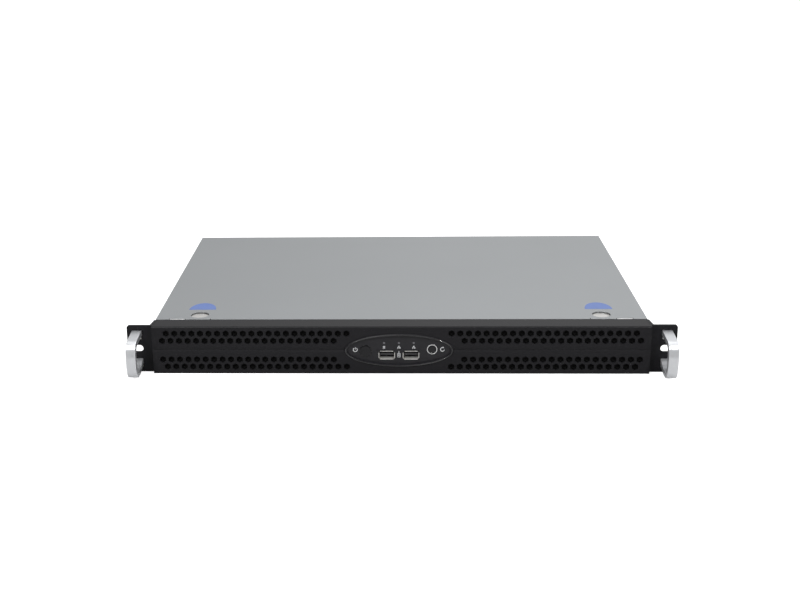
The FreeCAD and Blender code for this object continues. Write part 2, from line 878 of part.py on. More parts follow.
def rack_ear(label, side):
    body = new_body("Ear")
    root = ear_root
    tip = ear_tip
    block = root + s.ear_block_width
    step = root + s.ear_step_width
    block_back = ear_back + s.ear_block_depth
    points = [(root, ear_front), (tip, ear_front), (tip, ear_back), (block, ear_back),
              (block - s.sheet, block_back), (step, block_back), (step, front_wall),
              (root, front_wall)]
    layer(body, "XY", ZERO, s.ear_height, [outline([(side * x, y) for x, y in points])])
    round_edges(body, s.ear_round, lambda edge: edge_runs(edge, "y")
                and edge_at(edge, "x", side * tip))
    flange = [(root, front_wall), (step, front_wall), (step, s.ear_flange_reach),
              (root, s.ear_flange_reach)]
    layer(body, "XY", s.ear_flange_bottom, s.ear_flange_bottom + s.ear_flange_height,
          [outline([(side * x, y) for x, y in flange])])
    slot_x = side * (tip - s.slot_inset)
    end = s.slot_length / 2 - s.slot_height / 2
    radius = s.slot_height / 2
    layer(body, "XZ", ear_front, ear_back,
          [rectangle(slot_x - end, slot_x + end, middle_z - radius, middle_z + radius)], remove=True)
    layer(body, "XZ", ear_front, ear_back,
          [disc(slot_x - end, middle_z, radius), disc(slot_x + end, middle_z, radius)], remove=True)
    keep(label, body)


def handle(label, side):
    """A flat strip bowed into a loop: the lower end turns back under a broad bend."""
    body = new_body("Handle")
    x = side * (ear_tip - s.handle_inset)
    thick = s.handle_thick
    front = handle_front
    nose = s.handle_bend / 3
    drop = s.handle_bend / 4
    top = s.handle_top
    low = s.handle_low
    foot = s.handle_foot
    flat_top = middle_z + nose
    flat_low = middle_z - 2 * nose
    broad = 2 * s.handle_bend
    points = [
        (ear_front, top), (front + nose, top - drop), (front, flat_top), (front, flat_low),
        (front + nose, low), (front + broad, low), (ear_front, foot - thick),
        (ear_front, foot), (front + broad, low + thick), (front + nose + thick, low + thick),
        (front + thick, flat_low), (front + thick, flat_top),
        (front + nose + thick, top - drop - thick), (ear_front, top - thick)]
    layer(body, "YZ", x - s.handle_width / 2, x + s.handle_width / 2, [outline(points)])

    def corner(wanted):
        return lambda edge: edge_runs(edge, "x") and any(
            edge_at(edge, "y", y) and edge_at(edge, "z", z) for y, z in wanted)

    inner_bend = s.handle_bend - thick
    round_edges(body, s.handle_bend, corner([points[1], points[4]]))
    round_edges(body, inner_bend, corner([points[9], points[12]]))
    round_edges(body, broad, corner([points[2], points[3], points[5]]))
    round_edges(body, broad - thick, corner([points[8], points[10], points[11]]))
    keep(label, body)


# ---- cover release ---------------------------------------------------------------------------


def release_set(side_name, side):
    x = side * s.release_x
    half_wide = s.release_shelf_width / 2
    bracket = new_body("Bracket")
    section = [(front_inner, shelf_top - s.release_flange_height), (front_inner, shelf_top),
               (front_inner + s.release_shelf_depth, shelf_top),
               (front_inner + s.release_shelf_depth, shelf_top - s.sheet),
               (front_inner + s.sheet, shelf_top - s.sheet),
               (front_inner + s.sheet, shelf_top - s.release_flange_height)]
    layer(bracket, "YZ", x - half_wide, x + half_wide, [outline(section)])
    half = s.release_stem / 2 + s.running_fit
    layer(bracket, "XY", shelf_top - s.sheet, shelf_top,
          [rectangle(x - half, x + half, s.release_y - half, s.release_y + half)], remove=True)
    keep(f"release_bracket_{side_name}", bracket)
    button = new_body("Release")
    clip_top = shelf_top - s.sheet - s.running_fit
    layer(button, "XY", release_top - s.release_thick, release_top,
          [disc(ZERO, ZERO, s.release_radius)])
    for half, low, high in (
            (s.release_stem / 2, clip_top, release_top - s.release_thick),
            (s.release_stem / 2 + s.release_clip, clip_top - s.release_clip, clip_top)):
        layer(button, "XY", low, high, [rectangle(-half, half, -half, half)])
    keep(f"release_button_{side_name}", button, x, s.release_y, 0.0)
    spring = release_spring()
    keep(f"release_spring_{side_name}", spring, x, s.release_y, 0.0)


def release_spring():
    """A strip bowed up to the button, with a square window that the stem passes through."""
    body = new_body("Spring")
    low = shelf_top
    high = release_top - s.release_thick
    thick = s.spring_thick
    inner = s.spring_reach - s.spring_foot
    half = [(s.spring_reach, low), (s.spring_reach, low + thick), (inner + thick / 2, low + thick),
            (s.spring_crown, high)]
    under = [(s.spring_crown - thick / 2, high - thick), (inner, low)]
    left_half = [(-x, z) for x, z in reversed(half)]
    left_under = [(-x, z) for x, z in reversed(under)]
    layer(body, "XZ", -s.spring_width / 2, s.spring_width / 2,
          [outline(half + left_half + left_under + under)])
    window = s.release_stem / 2 + s.running_fit
    layer(body, "XY", low, high, [rectangle(-window, window, -window, window)], remove=True)
    return body


# ---- motherboard -----------------------------------------------------------------------------


def motherboard():
    keep("motherboard", group([
        box(s.board_left, board_right, board_front, board_rear, board_low, board_top)]))
    posts = new_body("Standoffs")
    layer(posts, "XY", floor, board_low,
          [hexagon(x, y, s.standoff_flats) for x, y in board_holes])
    keep("board_standoffs", posts)


def finned_sink(label, x, y, low, side, base, high, fin, pitch, count):
    body = new_body("Sink")
    half = side / 2
    layer(body, "XY", low, low + base, [rectangle(x - half, x + half, y - half, y + half)])
    left = x - pitch * (count - 1) / 2 - fin / 2
    blade = layer(body, "XY", low + base, low + high,
                  [rectangle(left, left + fin, y - half, y + half)])
    row_of(body, blade, pitch, count)
    keep(label, body)


def cooling():
    half = s.cpu_side / 2
    socket = box(s.cpu_x - half, s.cpu_x + half, s.cpu_y - half, s.cpu_y + half,
                 board_top, board_top + s.cpu_thick)
    keep("cpu_package", group([socket]))
    sink_low = board_top + s.cpu_thick
    finned_sink("heatsink", s.cpu_x, s.cpu_y, sink_low, s.sink_side, s.sink_base, s.sink_height,
                s.sink_fin, s.sink_fin_pitch, s.sink_fin_count)
    finned_sink("chipset_heatsink", s.chip_x, s.chip_y, board_top, s.chip_side, s.sink_base / 2,
                s.chip_height, s.sink_fin, s.sink_fin_pitch, s.chip_fin_count)


def memory():
    sockets = []
    modules = []
    half_length = s.memory_length / 2
    half_socket = half_length + s.socket_end
    half_wide = s.socket_width / 2
    half_module = s.memory_thick / 2
    fork = s.latch_width / 2 + s.running_fit
    rail_top = board_top + s.socket_height
    seat = board_top + s.memory_seat
    for number in range(MEMORY_SLOTS):
        x = s.memory_x + number * s.memory_pitch
        rail = box(x - half_wide, x + half_wide, s.memory_y - half_socket,
                   s.memory_y + half_socket, board_top, rail_top)
        cuts = [box(x - half_module, x + half_module, s.memory_y - half_length,
                    s.memory_y + half_length, seat, rail_top)]
        for end in (-1, 1):
            near_end = s.memory_y + end * (half_length + s.running_fit)
            far_end = s.memory_y + end * half_socket
            low_y, high_y = (near_end, far_end) if end > 0 else (far_end, near_end)
            cuts.append(box(x - fork, x + fork, low_y, high_y,
                            latch_pivot_z - s.latch_round - s.running_fit, rail_top))
            pivot_y = s.memory_y + end * (half_length + s.latch_pivot_out)
            label = f"memory_latch_{2 * number + (end + 3) // 2}"
            memory_latch(label, x, pivot_y, end)
        sockets.append(cut(rail, cuts))
        edge = half_module - s.running_fit / 2
        modules.append(box(x - edge, x + edge, s.memory_y - half_length,
                           s.memory_y + half_length, seat, seat + s.memory_height))
    keep("memory_sockets", group(sockets))
    keep("memory_modules", group(modules))


def memory_latch(label, x, y, end):
    """A lever with a thumb lip; its round foot turns in the end of the socket."""
    body = new_body("Latch")
    half = s.latch_round
    tip = s.latch_height
    thumb = half + s.latch_thumb
    points = [(-half, 0), (half, 0), (half, tip - half), (thumb, tip), (thumb, tip + half),
              (-half, tip + half)]
    half_wide = s.latch_width / 2
    layer(body, "YZ", -half_wide, half_wide, [outline([(end * a, b) for a, b in points])])
    layer(body, "YZ", -half_wide, half_wide, [disc(ZERO, ZERO, half)])
    keep(label, body, x, y, latch_pivot_z)


# ---- rear connectors -------------------------------------------------------------------------


def io_shield():
    body = new_body("Shield")
    layer(body, "XZ", shield_front, rear_inner,
          [rectangle(s.shield_left, s.shield_left + s.shield_width,
                     s.shield_bottom, s.shield_bottom + s.shield_height)])
    gap = s.panel_fit
    holes = []
    for left, wide, low, high in rear_ports():
        holes.append(rectangle(left - gap, left + wide + gap, low - gap, low + high + gap))
    layer(body, "XZ", shield_front, rear_inner, holes, remove=True)
    keep("io_shield", body)


def rear_ports():
    """Left edge, width, lowest level and height of each connector that the shield frames."""
    ports = [(lan_left(number), s.lan_width, board_top, s.lan_height) for number in range(LAN_PORTS)]
    ports.append((s.stack_x - s.stack_width / 2, s.stack_width, board_top, s.stack_height))
    ports.append((s.video_x - s.video_width / 2, s.video_width, board_top, s.video_height))
    return ports


def lan_left(number):
    return s.lan_x + number * s.lan_pitch - s.lan_width / 2


def connectors():
    jacks = []
    for number in range(LAN_PORTS):
        left = lan_left(number)
        case = box(left, left + s.lan_width, port_face - s.lan_depth, port_face,
                   board_top, board_top + s.lan_height)
        side = (s.lan_width - s.lan_plug_width) / 2
        low = board_top + (s.lan_height - s.lan_plug_height) / 2
        mouth = box(left + side, left + s.lan_width - side, port_face - s.lan_plug_depth, port_face,
                    low, low + s.lan_plug_height)
        jacks.append(cut(case, [mouth]))
    keep("rear_lan_ports", group(jacks))
    half = s.stack_width / 2
    case = box(s.stack_x - half, s.stack_x + half, port_face - s.stack_depth, port_face,
               board_top, board_top + s.stack_height)
    mouths = []
    tongues = []
    gap = (s.stack_height - STACKED_PORTS * s.stack_plug_height) / (STACKED_PORTS + 1)
    for number in range(STACKED_PORTS):
        low = board_top + gap + number * (s.stack_plug_height + gap)
        mouths.append(box(s.stack_x - half + s.usb_wall * 2, s.stack_x + half - s.usb_wall * 2,
                          port_face - s.stack_depth + gap, port_face,
                          low, low + s.stack_plug_height))
        centre = low + s.stack_plug_height * 2 / 3
        tongues.append(box(s.stack_x - s.usb_tongue_width / 2, s.stack_x + s.usb_tongue_width / 2,
                           port_face - s.stack_depth + gap, port_face - gap,
                           centre - s.usb_tongue_thick / 2, centre + s.usb_tongue_thick / 2))
    keep("rear_usb_ports", fuse([cut(case, mouths)] + tongues))
    half = s.video_width / 2
    block = box(s.video_x - half, s.video_x + half, port_face - s.video_depth, port_face,
                board_top, board_top + s.video_height)
    middle = board_top + s.video_height / 2
    shell_wide = s.video_shell_width / 2
    shell_high = s.video_shell_height / 2
    shell = box(s.video_x - shell_wide, s.video_x + shell_wide, port_face,
                port_face + s.video_shell_depth, middle - shell_high, middle + shell_high)
    nuts = new_body("Nuts")
    layer(nuts, "XZ", port_face, port_face + s.video_shell_depth,
          [hexagon(s.video_x + end * (half - s.nut_flats * 2 / 3), middle, s.nut_flats)
           for end in (-1, 1)])
    keep("rear_video_port", fuse([block, shell, nuts]))


def expansion():
    foot = box(s.riser_x - s.socket_width / 2, s.riser_x + s.socket_width / 2 - s.sheet,
               s.riser_y, s.riser_y + s.riser_length, board_top, board_top + s.socket_height)
    half = s.board_thick / 2
    card = box(s.riser_x - half, s.riser_x + half, s.riser_y, s.riser_y + s.riser_length,
               board_top + s.socket_height, board_top + s.riser_height)
    port = box(s.riser_x + half, s.riser_x + half + s.socket_height, s.riser_y + s.socket_end,
               s.riser_y + s.riser_length - s.socket_end,
               board_top + s.riser_height - s.socket_width * 2,
               board_top + s.riser_height - s.socket_width)
    keep("riser_card", fuse([foot, card, port]))
    margin = s.blank_margin
    left = s.blank_left - margin
    right = s.blank_left + s.blank_width + margin
    plate = box(left, right, rear_inner - s.sheet, rear_inner, s.blank_bottom - margin,
                s.blank_bottom + s.blank_height + margin)
    fold = box(left, right, rear_inner - s.sheet - s.blank_fold, rear_inner - s.sheet,
               s.blank_bottom - margin, s.blank_bottom - margin + s.sheet)
    keep("slot_cover", fuse([plate, fold]))


# ---- fans ------------------------------------------------------------------------------------


def fan_frame(label, side, deep, x, y, z):
    """A square frame built about its own centre line, with the motor boss on a cross."""
    body = new_body("Frame")
    half = side / 2
    bore = half - s.fan_wall
    boss_front = deep - s.fan_strut_depth
    layer(body, "XZ", ZERO, boss_front, [rectangle(-half, half, -half, half)])
    layer(body, "XZ", ZERO, boss_front, [polygon(ZERO, ZERO, 2 * bore, BORE_SIDES)], remove=True)
    strut = s.fan_strut / 2
    layer(body, "XZ", boss_front, deep, [rectangle(-half, half, -strut, strut)])
    layer(body, "XZ", boss_front, deep, [rectangle(-strut, strut, -half, half)])
    boss = s.fan_boss / s.fan_side * side / 2
    layer(body, "XZ", boss_front, deep, [rectangle(-boss, boss, -boss, boss)])
    layer(body, "XZ", boss_front, deep,
          [disc(ZERO, ZERO, s.fan_shaft_radius + s.fan_shaft_fit)], remove=True)
    keep(label, body, x, y, z)


def fan_rotor(label, side, deep, x, y, z):
    """A hub with raked blades and the shaft that runs in the frame's boss."""
    body = new_body("Rotor")
    front = s.fan_strut
    back = deep - s.fan_strut_depth - s.seat_gap
    share = side / s.fan_side
    hub = s.fan_hub_radius * share
    layer(body, "XZ", front, back, [polygon(ZERO, ZERO, 2 * hub, 2 * FAN_BLADES)])
    layer(body, "XZ", back, deep, [disc(ZERO, ZERO, s.fan_shaft_radius)])
    tip = side / 2 - s.fan_wall - s.fan_tip_gap
    chord_low = front + s.blade_thick
    chord_high = back - s.blade_thick
    wide = 2 * s.blade_thick
    lean = s.blade_lean * share
    blade = layer(body, "YZ", hub - s.blade_thick, tip - s.blade_thick, [outline(
        [(chord_low, -lean), (chord_low + wide, -lean),
         (chord_high, lean), (chord_high - wide, lean)])])
    ring = body.newObject("PartDesign::PolarPattern", "Blades")
    ring.Originals = [blade]
    ring.Axis = (origin_feature(body, "Y_Axis"), [""])
    ring.Angle = 360
    ring.Occurrences = FAN_BLADES
    body.Tip = ring
    document.recompute()
    keep(label, body, x, y, z)


def fan_row():
    centre_z = floor + s.seat_gap + s.fan_side / 2
    body = new_body("FanWall")
    left = s.fan_first_x - s.fan_side / 2 - s.fan_bracket_margin
    right = fan_row_right
    section = [(s.fan_y - s.sheet, floor), (s.fan_y - s.sheet, wall_top), (s.fan_y, wall_top),
               (s.fan_y, floor)]
    layer(body, "YZ", left, right, [outline(section)])
    toe = s.fan_y - s.fan_foot
    foot = [(toe, floor), (s.fan_y - s.sheet, floor),
            (s.fan_y - s.sheet, floor + s.sheet), (toe, floor + s.sheet)]
    layer(body, "YZ", left, right, [outline(foot)])
    holes = []
    for number in range(FANS):
        x = s.fan_first_x + number * s.fan_pitch
        fan_frame(f"fan_frame_{number + 1}", s.fan_side, s.fan_depth, x, s.fan_y, centre_z)
        fan_rotor(f"fan_rotor_{number + 1}", s.fan_side, s.fan_depth, x, s.fan_y, centre_z)
        half = s.fan_side / 2 - s.fan_window_edge
        holes.append(rectangle(x - half, x + half, centre_z - half, centre_z + half))
    layer(body, "XZ", s.fan_y - s.sheet, s.fan_y, holes, remove=True)
    keep("fan_bracket", body)


# ---- power supply ----------------------------------------------------------------------------


def power_supply():
    right = psu_left + s.psu_width
    front = rear_inner - s.psu_depth
    top = floor + s.psu_height
    shell = box(psu_left, right, front, rear_inner, floor, top)
    cavity = box(psu_left + s.psu_wall, right - s.psu_wall, front + s.psu_wall,
                 rear_inner - s.psu_wall, floor + s.psu_wall, top - s.psu_wall)
    fan_x = psu_left + s.psu_wall + s.psu_fan_inset
    centre_z = floor + s.psu_height / 2
    back = rear_inner - s.psu_wall
    fan_hole = rod("y", fan_x, back, centre_z, s.psu_fan_side / 2 - 2 * s.fan_wall, s.psu_wall)
    inlet_x = psu_left + s.inlet_inset
    half = s.inlet_width / 2
    high = s.inlet_height / 2
    inlet_hole = box(inlet_x - half, inlet_x + half, back, rear_inner,
                     centre_z - high, centre_z + high)
    first = psu_left + s.psu_slot_inset
    slots = [box(first + number * s.rear_vent_pitch,
                 first + number * s.rear_vent_pitch + s.rear_vent_width,
                 front, front + s.psu_wall, centre_z - high, centre_z + high)
             for number in range(PSU_SLOTS)]
    keep("psu_case", cut(shell, [cavity, fan_hole, inlet_hole] + slots))
    fan_y = back - s.psu_fan_depth
    fan_frame("psu_fan_frame", s.psu_fan_side, s.psu_fan_depth, fan_x, fan_y, centre_z)
    fan_rotor("psu_fan_rotor", s.psu_fan_side, s.psu_fan_depth, fan_x, fan_y, centre_z)
    gap = s.running_fit
    block = box(inlet_x - half + gap, inlet_x + half - gap, rear_inner - s.inlet_depth,
                inlet_face, centre_z - high + gap, centre_z + high - gap)
    socket_half = s.inlet_socket_width / 2
    socket_high = s.inlet_socket_height / 2
    socket = box(inlet_x - socket_half, inlet_x + socket_half, inlet_face - s.inlet_socket_depth,
                 inlet_face, centre_z - socket_high, centre_z + socket_high)
    blades = []
    for number in (-1, 0, 1):
        x = inlet_x + number * s.inlet_blade_pitch
        lift = s.inlet_blade_thick if number == 0 else -s.inlet_blade_thick
        blades.append(box(x - s.inlet_blade_thick / 2, x + s.inlet_blade_thick / 2,
                          inlet_face - s.inlet_socket_depth, inlet_face - s.inlet_blade_width,
                          centre_z + lift - s.inlet_blade_width / 2,
                          centre_z + lift + s.inlet_blade_width / 2))
    keep("psu_inlet", fuse([cut(block, [socket])] + blades))
    low = floor + s.psu_wall
    board = low + s.psu_board_lift
    inner_left = psu_left + s.psu_wall + s.blank_margin
    inner_right = right - s.psu_wall - s.blank_margin
    plate = box(inner_left, inner_right, front + s.psu_wall + s.blank_margin,
                fan_y - s.blank_margin, board, board + s.board_thick)
    ledge = [box(inner_left, inner_right, y, y + s.blank_margin, low, board)
             for y in (front + s.psu_wall + s.blank_margin, fan_y - 2 * s.blank_margin)]
    surface = board + s.board_thick
    core = box(inner_left + s.chip_height, inner_left + s.chip_height + s.chip_side,
               front + s.chip_side, front + 2 * s.chip_side, surface, surface + s.core_height)
    fin = box(inner_right - s.chip_height, inner_right - s.chip_height + s.sheet * 2,
              front + s.chip_side / 2, fan_y - s.chip_side / 2, surface, surface + s.can_height)
    can = rod("z", inner_left + s.chip_height * 2, fan_y - s.chip_height * 2,
              surface, s.can_radius, s.can_height)
    keep("psu_board", fuse([plate, core, fin, can] + ledge))


# ---- hard drive ------------------------------------------------------------------------------


def storage():
    low = floor + s.drive_lift
    top = low + s.drive_height
    left = s.drive_left
    right = left + s.drive_length
    back = s.drive_front + s.drive_width
    body = new_body("Drive")
    layer(body, "XY", low, top - s.drive_lid_step, [rectangle(left, right, s.drive_front, back)])
    inset = s.drive_lid_inset
    layer(body, "XY", top - s.drive_lid_step, top,
          [rectangle(left + inset, right - inset, s.drive_front + inset, back - inset)])
    keep("hard_drive", body)
    bracket = new_body("DriveBracket")
    foot = s.bracket_foot
    front = s.drive_front
    section = [(front - foot / 2, floor), (front + foot / 2, floor),
               (front + foot / 2, low - s.sheet), (back - foot / 2, low - s.sheet),
               (back - foot / 2, floor), (back + foot / 2, floor),
               (back + foot / 2, floor + s.sheet), (back + s.sheet - foot / 2, floor + s.sheet),
               (back + s.sheet - foot / 2, low), (front - s.sheet + foot / 2, low),
               (front - s.sheet + foot / 2, floor + s.sheet), (front - foot / 2, floor + s.sheet)]
    layer(bracket, "YZ", left + inset, right - inset, [outline(section)])
    keep("drive_bracket", bracket)


# ---- cables ----------------------------------------------------------------------------------


def power_cable():
    """Runs from the side of the supply to a plug at the board's front corner."""
    height = board_top + s.plug_height / 2
    start_x = psu_left + s.psu_width
    start_y = rear_inner - s.psu_depth + s.power_exit
    end_x = s.board_left + s.plug_inset
    end_y = board_front + s.plug_height
    half = s.plug_width / 2
    plug = box(end_x, end_x + s.plug_width, end_y - half, end_y + half,
               board_top, board_top + s.plug_height)
    line = bundle([(start_x, start_y, height), (start_x + s.cable_lead, start_y, height),
                   (end_x - s.cable_lead, end_y, height), (end_x, end_y, height)],
                  s.power_cable_radius)
    keep("power_cable", fuse([plug, line]))


def data_cable():
    """Runs from the side of the drive to a plug at the board's front edge."""
    drive_right = s.drive_left + s.drive_length
    x = drive_right + s.plug_depth / 2
    y = s.drive_front + s.drive_width / 2
    high = floor + s.drive_lift + s.plug_height
    low = board_top + s.small_plug / 2
    end_y = board_front + s.plug_inset
    head = box(drive_right, drive_right + s.plug_depth, y - s.plug_width, y,
               high - s.plug_height / 2, high + s.plug_height / 2)
    tail = box(x - s.small_plug / 2, x + s.small_plug / 2, end_y, end_y + s.plug_depth,
               board_top, board_top + s.small_plug)
    line = bundle([(x, y, high), (x, y + s.cable_lead, high),
                   (x, end_y - s.cable_lead, low), (x, end_y, low)], s.data_cable_radius)
    keep("data_cable", fuse([head, line, tail]))


def panel_cable():
    """Runs from the front board under the fans' end to a plug at the board's front corner."""
    lead = s.cable_lead
    back = s.panel_board_y + s.board_thick
    start = back + s.header_depth
    low = board_top + s.small_plug / 2
    run = floor + s.sheet + s.panel_cable_radius + s.seat_gap
    turn_x = fan_row_right + s.plug_depth
    end_x = board_right - s.small_plug
    socket = box(-s.plug_width, s.plug_width, back, start,
                 middle_z - s.plug_height / 2, middle_z + s.plug_height / 2)
    tail = box(end_x - s.small_plug / 2, end_x + s.small_plug / 2, board_front,
               board_front + s.plug_depth, board_top, board_top + s.small_plug)
    line = bundle([(0, start, middle_z), (0, start + lead, middle_z),
                   (lead, start + 2 * lead, run + lead / 2),
                   (turn_x - 2 * lead, s.fan_y - 2 * lead, run),
                   (turn_x, s.fan_y - lead / 2, run), (turn_x, s.fan_y + lead, run + lead / 4),
                   (end_x, board_front - s.plug_depth, low), (end_x, board_front, low)],
                  s.panel_cable_radius)
    keep("panel_cable", fuse([socket, line, tail]))


# ---- shared places ---------------------------------------------------------------------------

cover_front = s.bezel_depth + s.front_gap
panel_back = s.panel_recess + s.panel_wall
switch_face = s.panel_board_y - s.switch_height - s.switch_plunger
release_top = cover_under - s.release_sunk
shelf_top = s.case_height - s.release_shelf_drop
board_right = s.board_left + s.board_side
board_rear = rear_inner - s.board_rear_gap
board_front = board_rear - s.board_side
board_low = floor + s.standoff_height
board_top = board_low + s.board_thick
board_holes = [(x, y) for x in (s.board_left + s.board_hole_inset, board_right - s.board_hole_inset)
               for y in (board_front + s.board_hole_inset * 3, board_rear - s.board_hole_inset * 4)]
fan_row_right = (s.fan_first_x + s.fan_pitch * (FANS - 1) + s.fan_side / 2
                 + s.fan_bracket_margin)
latch_pivot_z = board_top + s.latch_pivot_up
shield_front = rear_inner - s.shield_thick
inlet_face = s.case_depth + s.port_proud
psu_left = s.psu_side_gap - tray_inner


# ---- assembly --------------------------------------------------------------------------------


def build():
    chassis_base()
    top_cover()
    front_bezel()
    control_panel()
    buttons()
    led_lenses()
    front_electronics()
    for name, side in (("left", -1), ("right", 1)):
        rack_ear(f"ear_{name}", side)
        handle(f"handle_{name}", side)
        release_set(name, side)
    motherboard()
    cooling()
    memory()
    io_shield()
    connectors()
    expansion()
    fan_row()
    power_supply()
    storage()
    power_cable()
    data_cable()
    panel_cable()


def place_and_label():
    for label, (thing, x, y, z) in nodes.items():
        thing.Label = label
        bind(thing, {"Placement.Base.x": x, "Placement.Base.y": y + shift_y, "Placement.Base.z": z})
    document.recompute()


def check_and_write():
    for thing in document.Objects:
        if "Invalid" in thing.State or "Error" in thing.State:
            raise ValueError(f"{thing.Label} failed: {thing.State}")
    for label, entry in nodes.items():
        shape = entry[0].Shape
        if shape.isNull() or not shape.isValid():
            raise ValueError(f"{label} is not a valid shape")
    os.makedirs("parts", exist_ok=True)
    for label, entry in nodes.items():
        entry[0].Shape.exportStep(f"parts/{label}.step")


build()
place_and_label()
check_and_write()
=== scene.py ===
"""Looks of a slim rack server: finishes, printed marks and small parts over the CAD frame."""

import bmesh
import bpy
import json
import math
from mathutils import Matrix, Vector


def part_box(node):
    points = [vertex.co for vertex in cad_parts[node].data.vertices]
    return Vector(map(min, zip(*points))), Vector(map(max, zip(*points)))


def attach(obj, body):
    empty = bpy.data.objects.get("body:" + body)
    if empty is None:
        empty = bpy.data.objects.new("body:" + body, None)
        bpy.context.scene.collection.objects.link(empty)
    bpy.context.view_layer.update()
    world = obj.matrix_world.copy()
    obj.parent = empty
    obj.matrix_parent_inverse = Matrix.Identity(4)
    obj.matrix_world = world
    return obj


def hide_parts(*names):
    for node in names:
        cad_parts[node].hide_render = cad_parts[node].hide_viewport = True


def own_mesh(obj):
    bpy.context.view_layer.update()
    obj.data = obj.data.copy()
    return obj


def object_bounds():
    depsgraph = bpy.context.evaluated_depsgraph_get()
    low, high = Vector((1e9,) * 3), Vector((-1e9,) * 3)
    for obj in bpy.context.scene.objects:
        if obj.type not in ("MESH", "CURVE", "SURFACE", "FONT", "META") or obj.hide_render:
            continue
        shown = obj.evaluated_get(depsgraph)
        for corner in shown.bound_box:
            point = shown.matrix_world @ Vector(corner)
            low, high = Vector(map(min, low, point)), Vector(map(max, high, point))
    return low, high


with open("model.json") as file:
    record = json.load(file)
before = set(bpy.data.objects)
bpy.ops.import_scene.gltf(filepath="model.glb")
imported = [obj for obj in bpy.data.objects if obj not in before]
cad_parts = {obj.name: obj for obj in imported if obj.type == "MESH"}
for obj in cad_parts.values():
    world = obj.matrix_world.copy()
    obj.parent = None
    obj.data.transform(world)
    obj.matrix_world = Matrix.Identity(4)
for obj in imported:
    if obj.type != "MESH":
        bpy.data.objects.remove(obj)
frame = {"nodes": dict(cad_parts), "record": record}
cad_box = [list(corner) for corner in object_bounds()]

MM = 0.001


# ---- finishes ----------------------------------------------------------------------------------

GLOSS_SWING = 0.07
GRAIN_HEIGHT = 0.05 * MM


def link_noise(tree, coords, scale, detail=3.0, stretch=(1.0, 1.0, 1.0)):
    """A noise pattern on the object's own coordinates; stretch draws it out along an axis."""
    mapping = tree.nodes.new("ShaderNodeMapping")
    mapping.inputs["Scale"].default_value = stretch
    tree.links.new(coords.outputs["Object"], mapping.inputs["Vector"])
    noise = tree.nodes.new("ShaderNodeTexNoise")
    noise.inputs["Scale"].default_value = scale
    noise.inputs["Detail"].default_value = detail
    tree.links.new(mapping.outputs["Vector"], noise.inputs["Vector"])
    return noise


def finish(name, colour, roughness, metallic=0.0, mottle=0.05, mottle_scale=30.0,
           grain=0.0, grain_scale=1800.0, stretch=(1.0, 1.0, 1.0), coat=0.0, shine=0.5):
    """A surface with slow colour and gloss changes and a fine grain in its relief."""
    material = bpy.data.materials.new(name)
    material.use_nodes = True
    tree = material.node_tree
    shader = tree.nodes["Principled BSDF"]
    shader.inputs["Metallic"].default_value = metallic
    shader.inputs["Coat Weight"].default_value = coat
    shader.inputs["Specular IOR Level"].default_value = shine
    coords = tree.nodes.new("ShaderNodeTexCoord")
    cloud = link_noise(tree, coords, mottle_scale)
    tint = tree.nodes.new("ShaderNodeMix")
    tint.data_type = "RGBA"
    tint.inputs["A"].default_value = (*[part * (1 - mottle) for part in colour], 1)
    tint.inputs["B"].default_value = (*[min(1, part * (1 + mottle)) for part in colour], 1)
    tree.links.new(cloud.outputs["Fac"], tint.inputs["Factor"])
    tree.links.new(tint.outputs["Result"], shader.inputs["Base Color"])
    fine = link_noise(tree, coords, grain_scale, 2.0, stretch)
    gloss = tree.nodes.new("ShaderNodeMapRange")
    gloss.inputs["To Min"].default_value = max(0.02, roughness - GLOSS_SWING)
    gloss.inputs["To Max"].default_value = min(1.0, roughness + GLOSS_SWING)
    tree.links.new(fine.outputs["Fac"], gloss.inputs["Value"])
    tree.links.new(gloss.outputs["Result"], shader.inputs["Roughness"])
    if grain:
        bump = tree.nodes.new("ShaderNodeBump")
        bump.inputs["Strength"].default_value = grain
        bump.inputs["Distance"].default_value = GRAIN_HEIGHT
        tree.links.new(fine.outputs["Fac"], bump.inputs["Height"])
        tree.links.new(bump.outputs["Normal"], shader.inputs["Normal"])
    return material


# the grain's scale along each axis: a low one draws brush lines out along it
BRUSH_X = (0.03, 1.0, 1.0)
BRUSH_Z = (1.0, 1.0, 0.04)

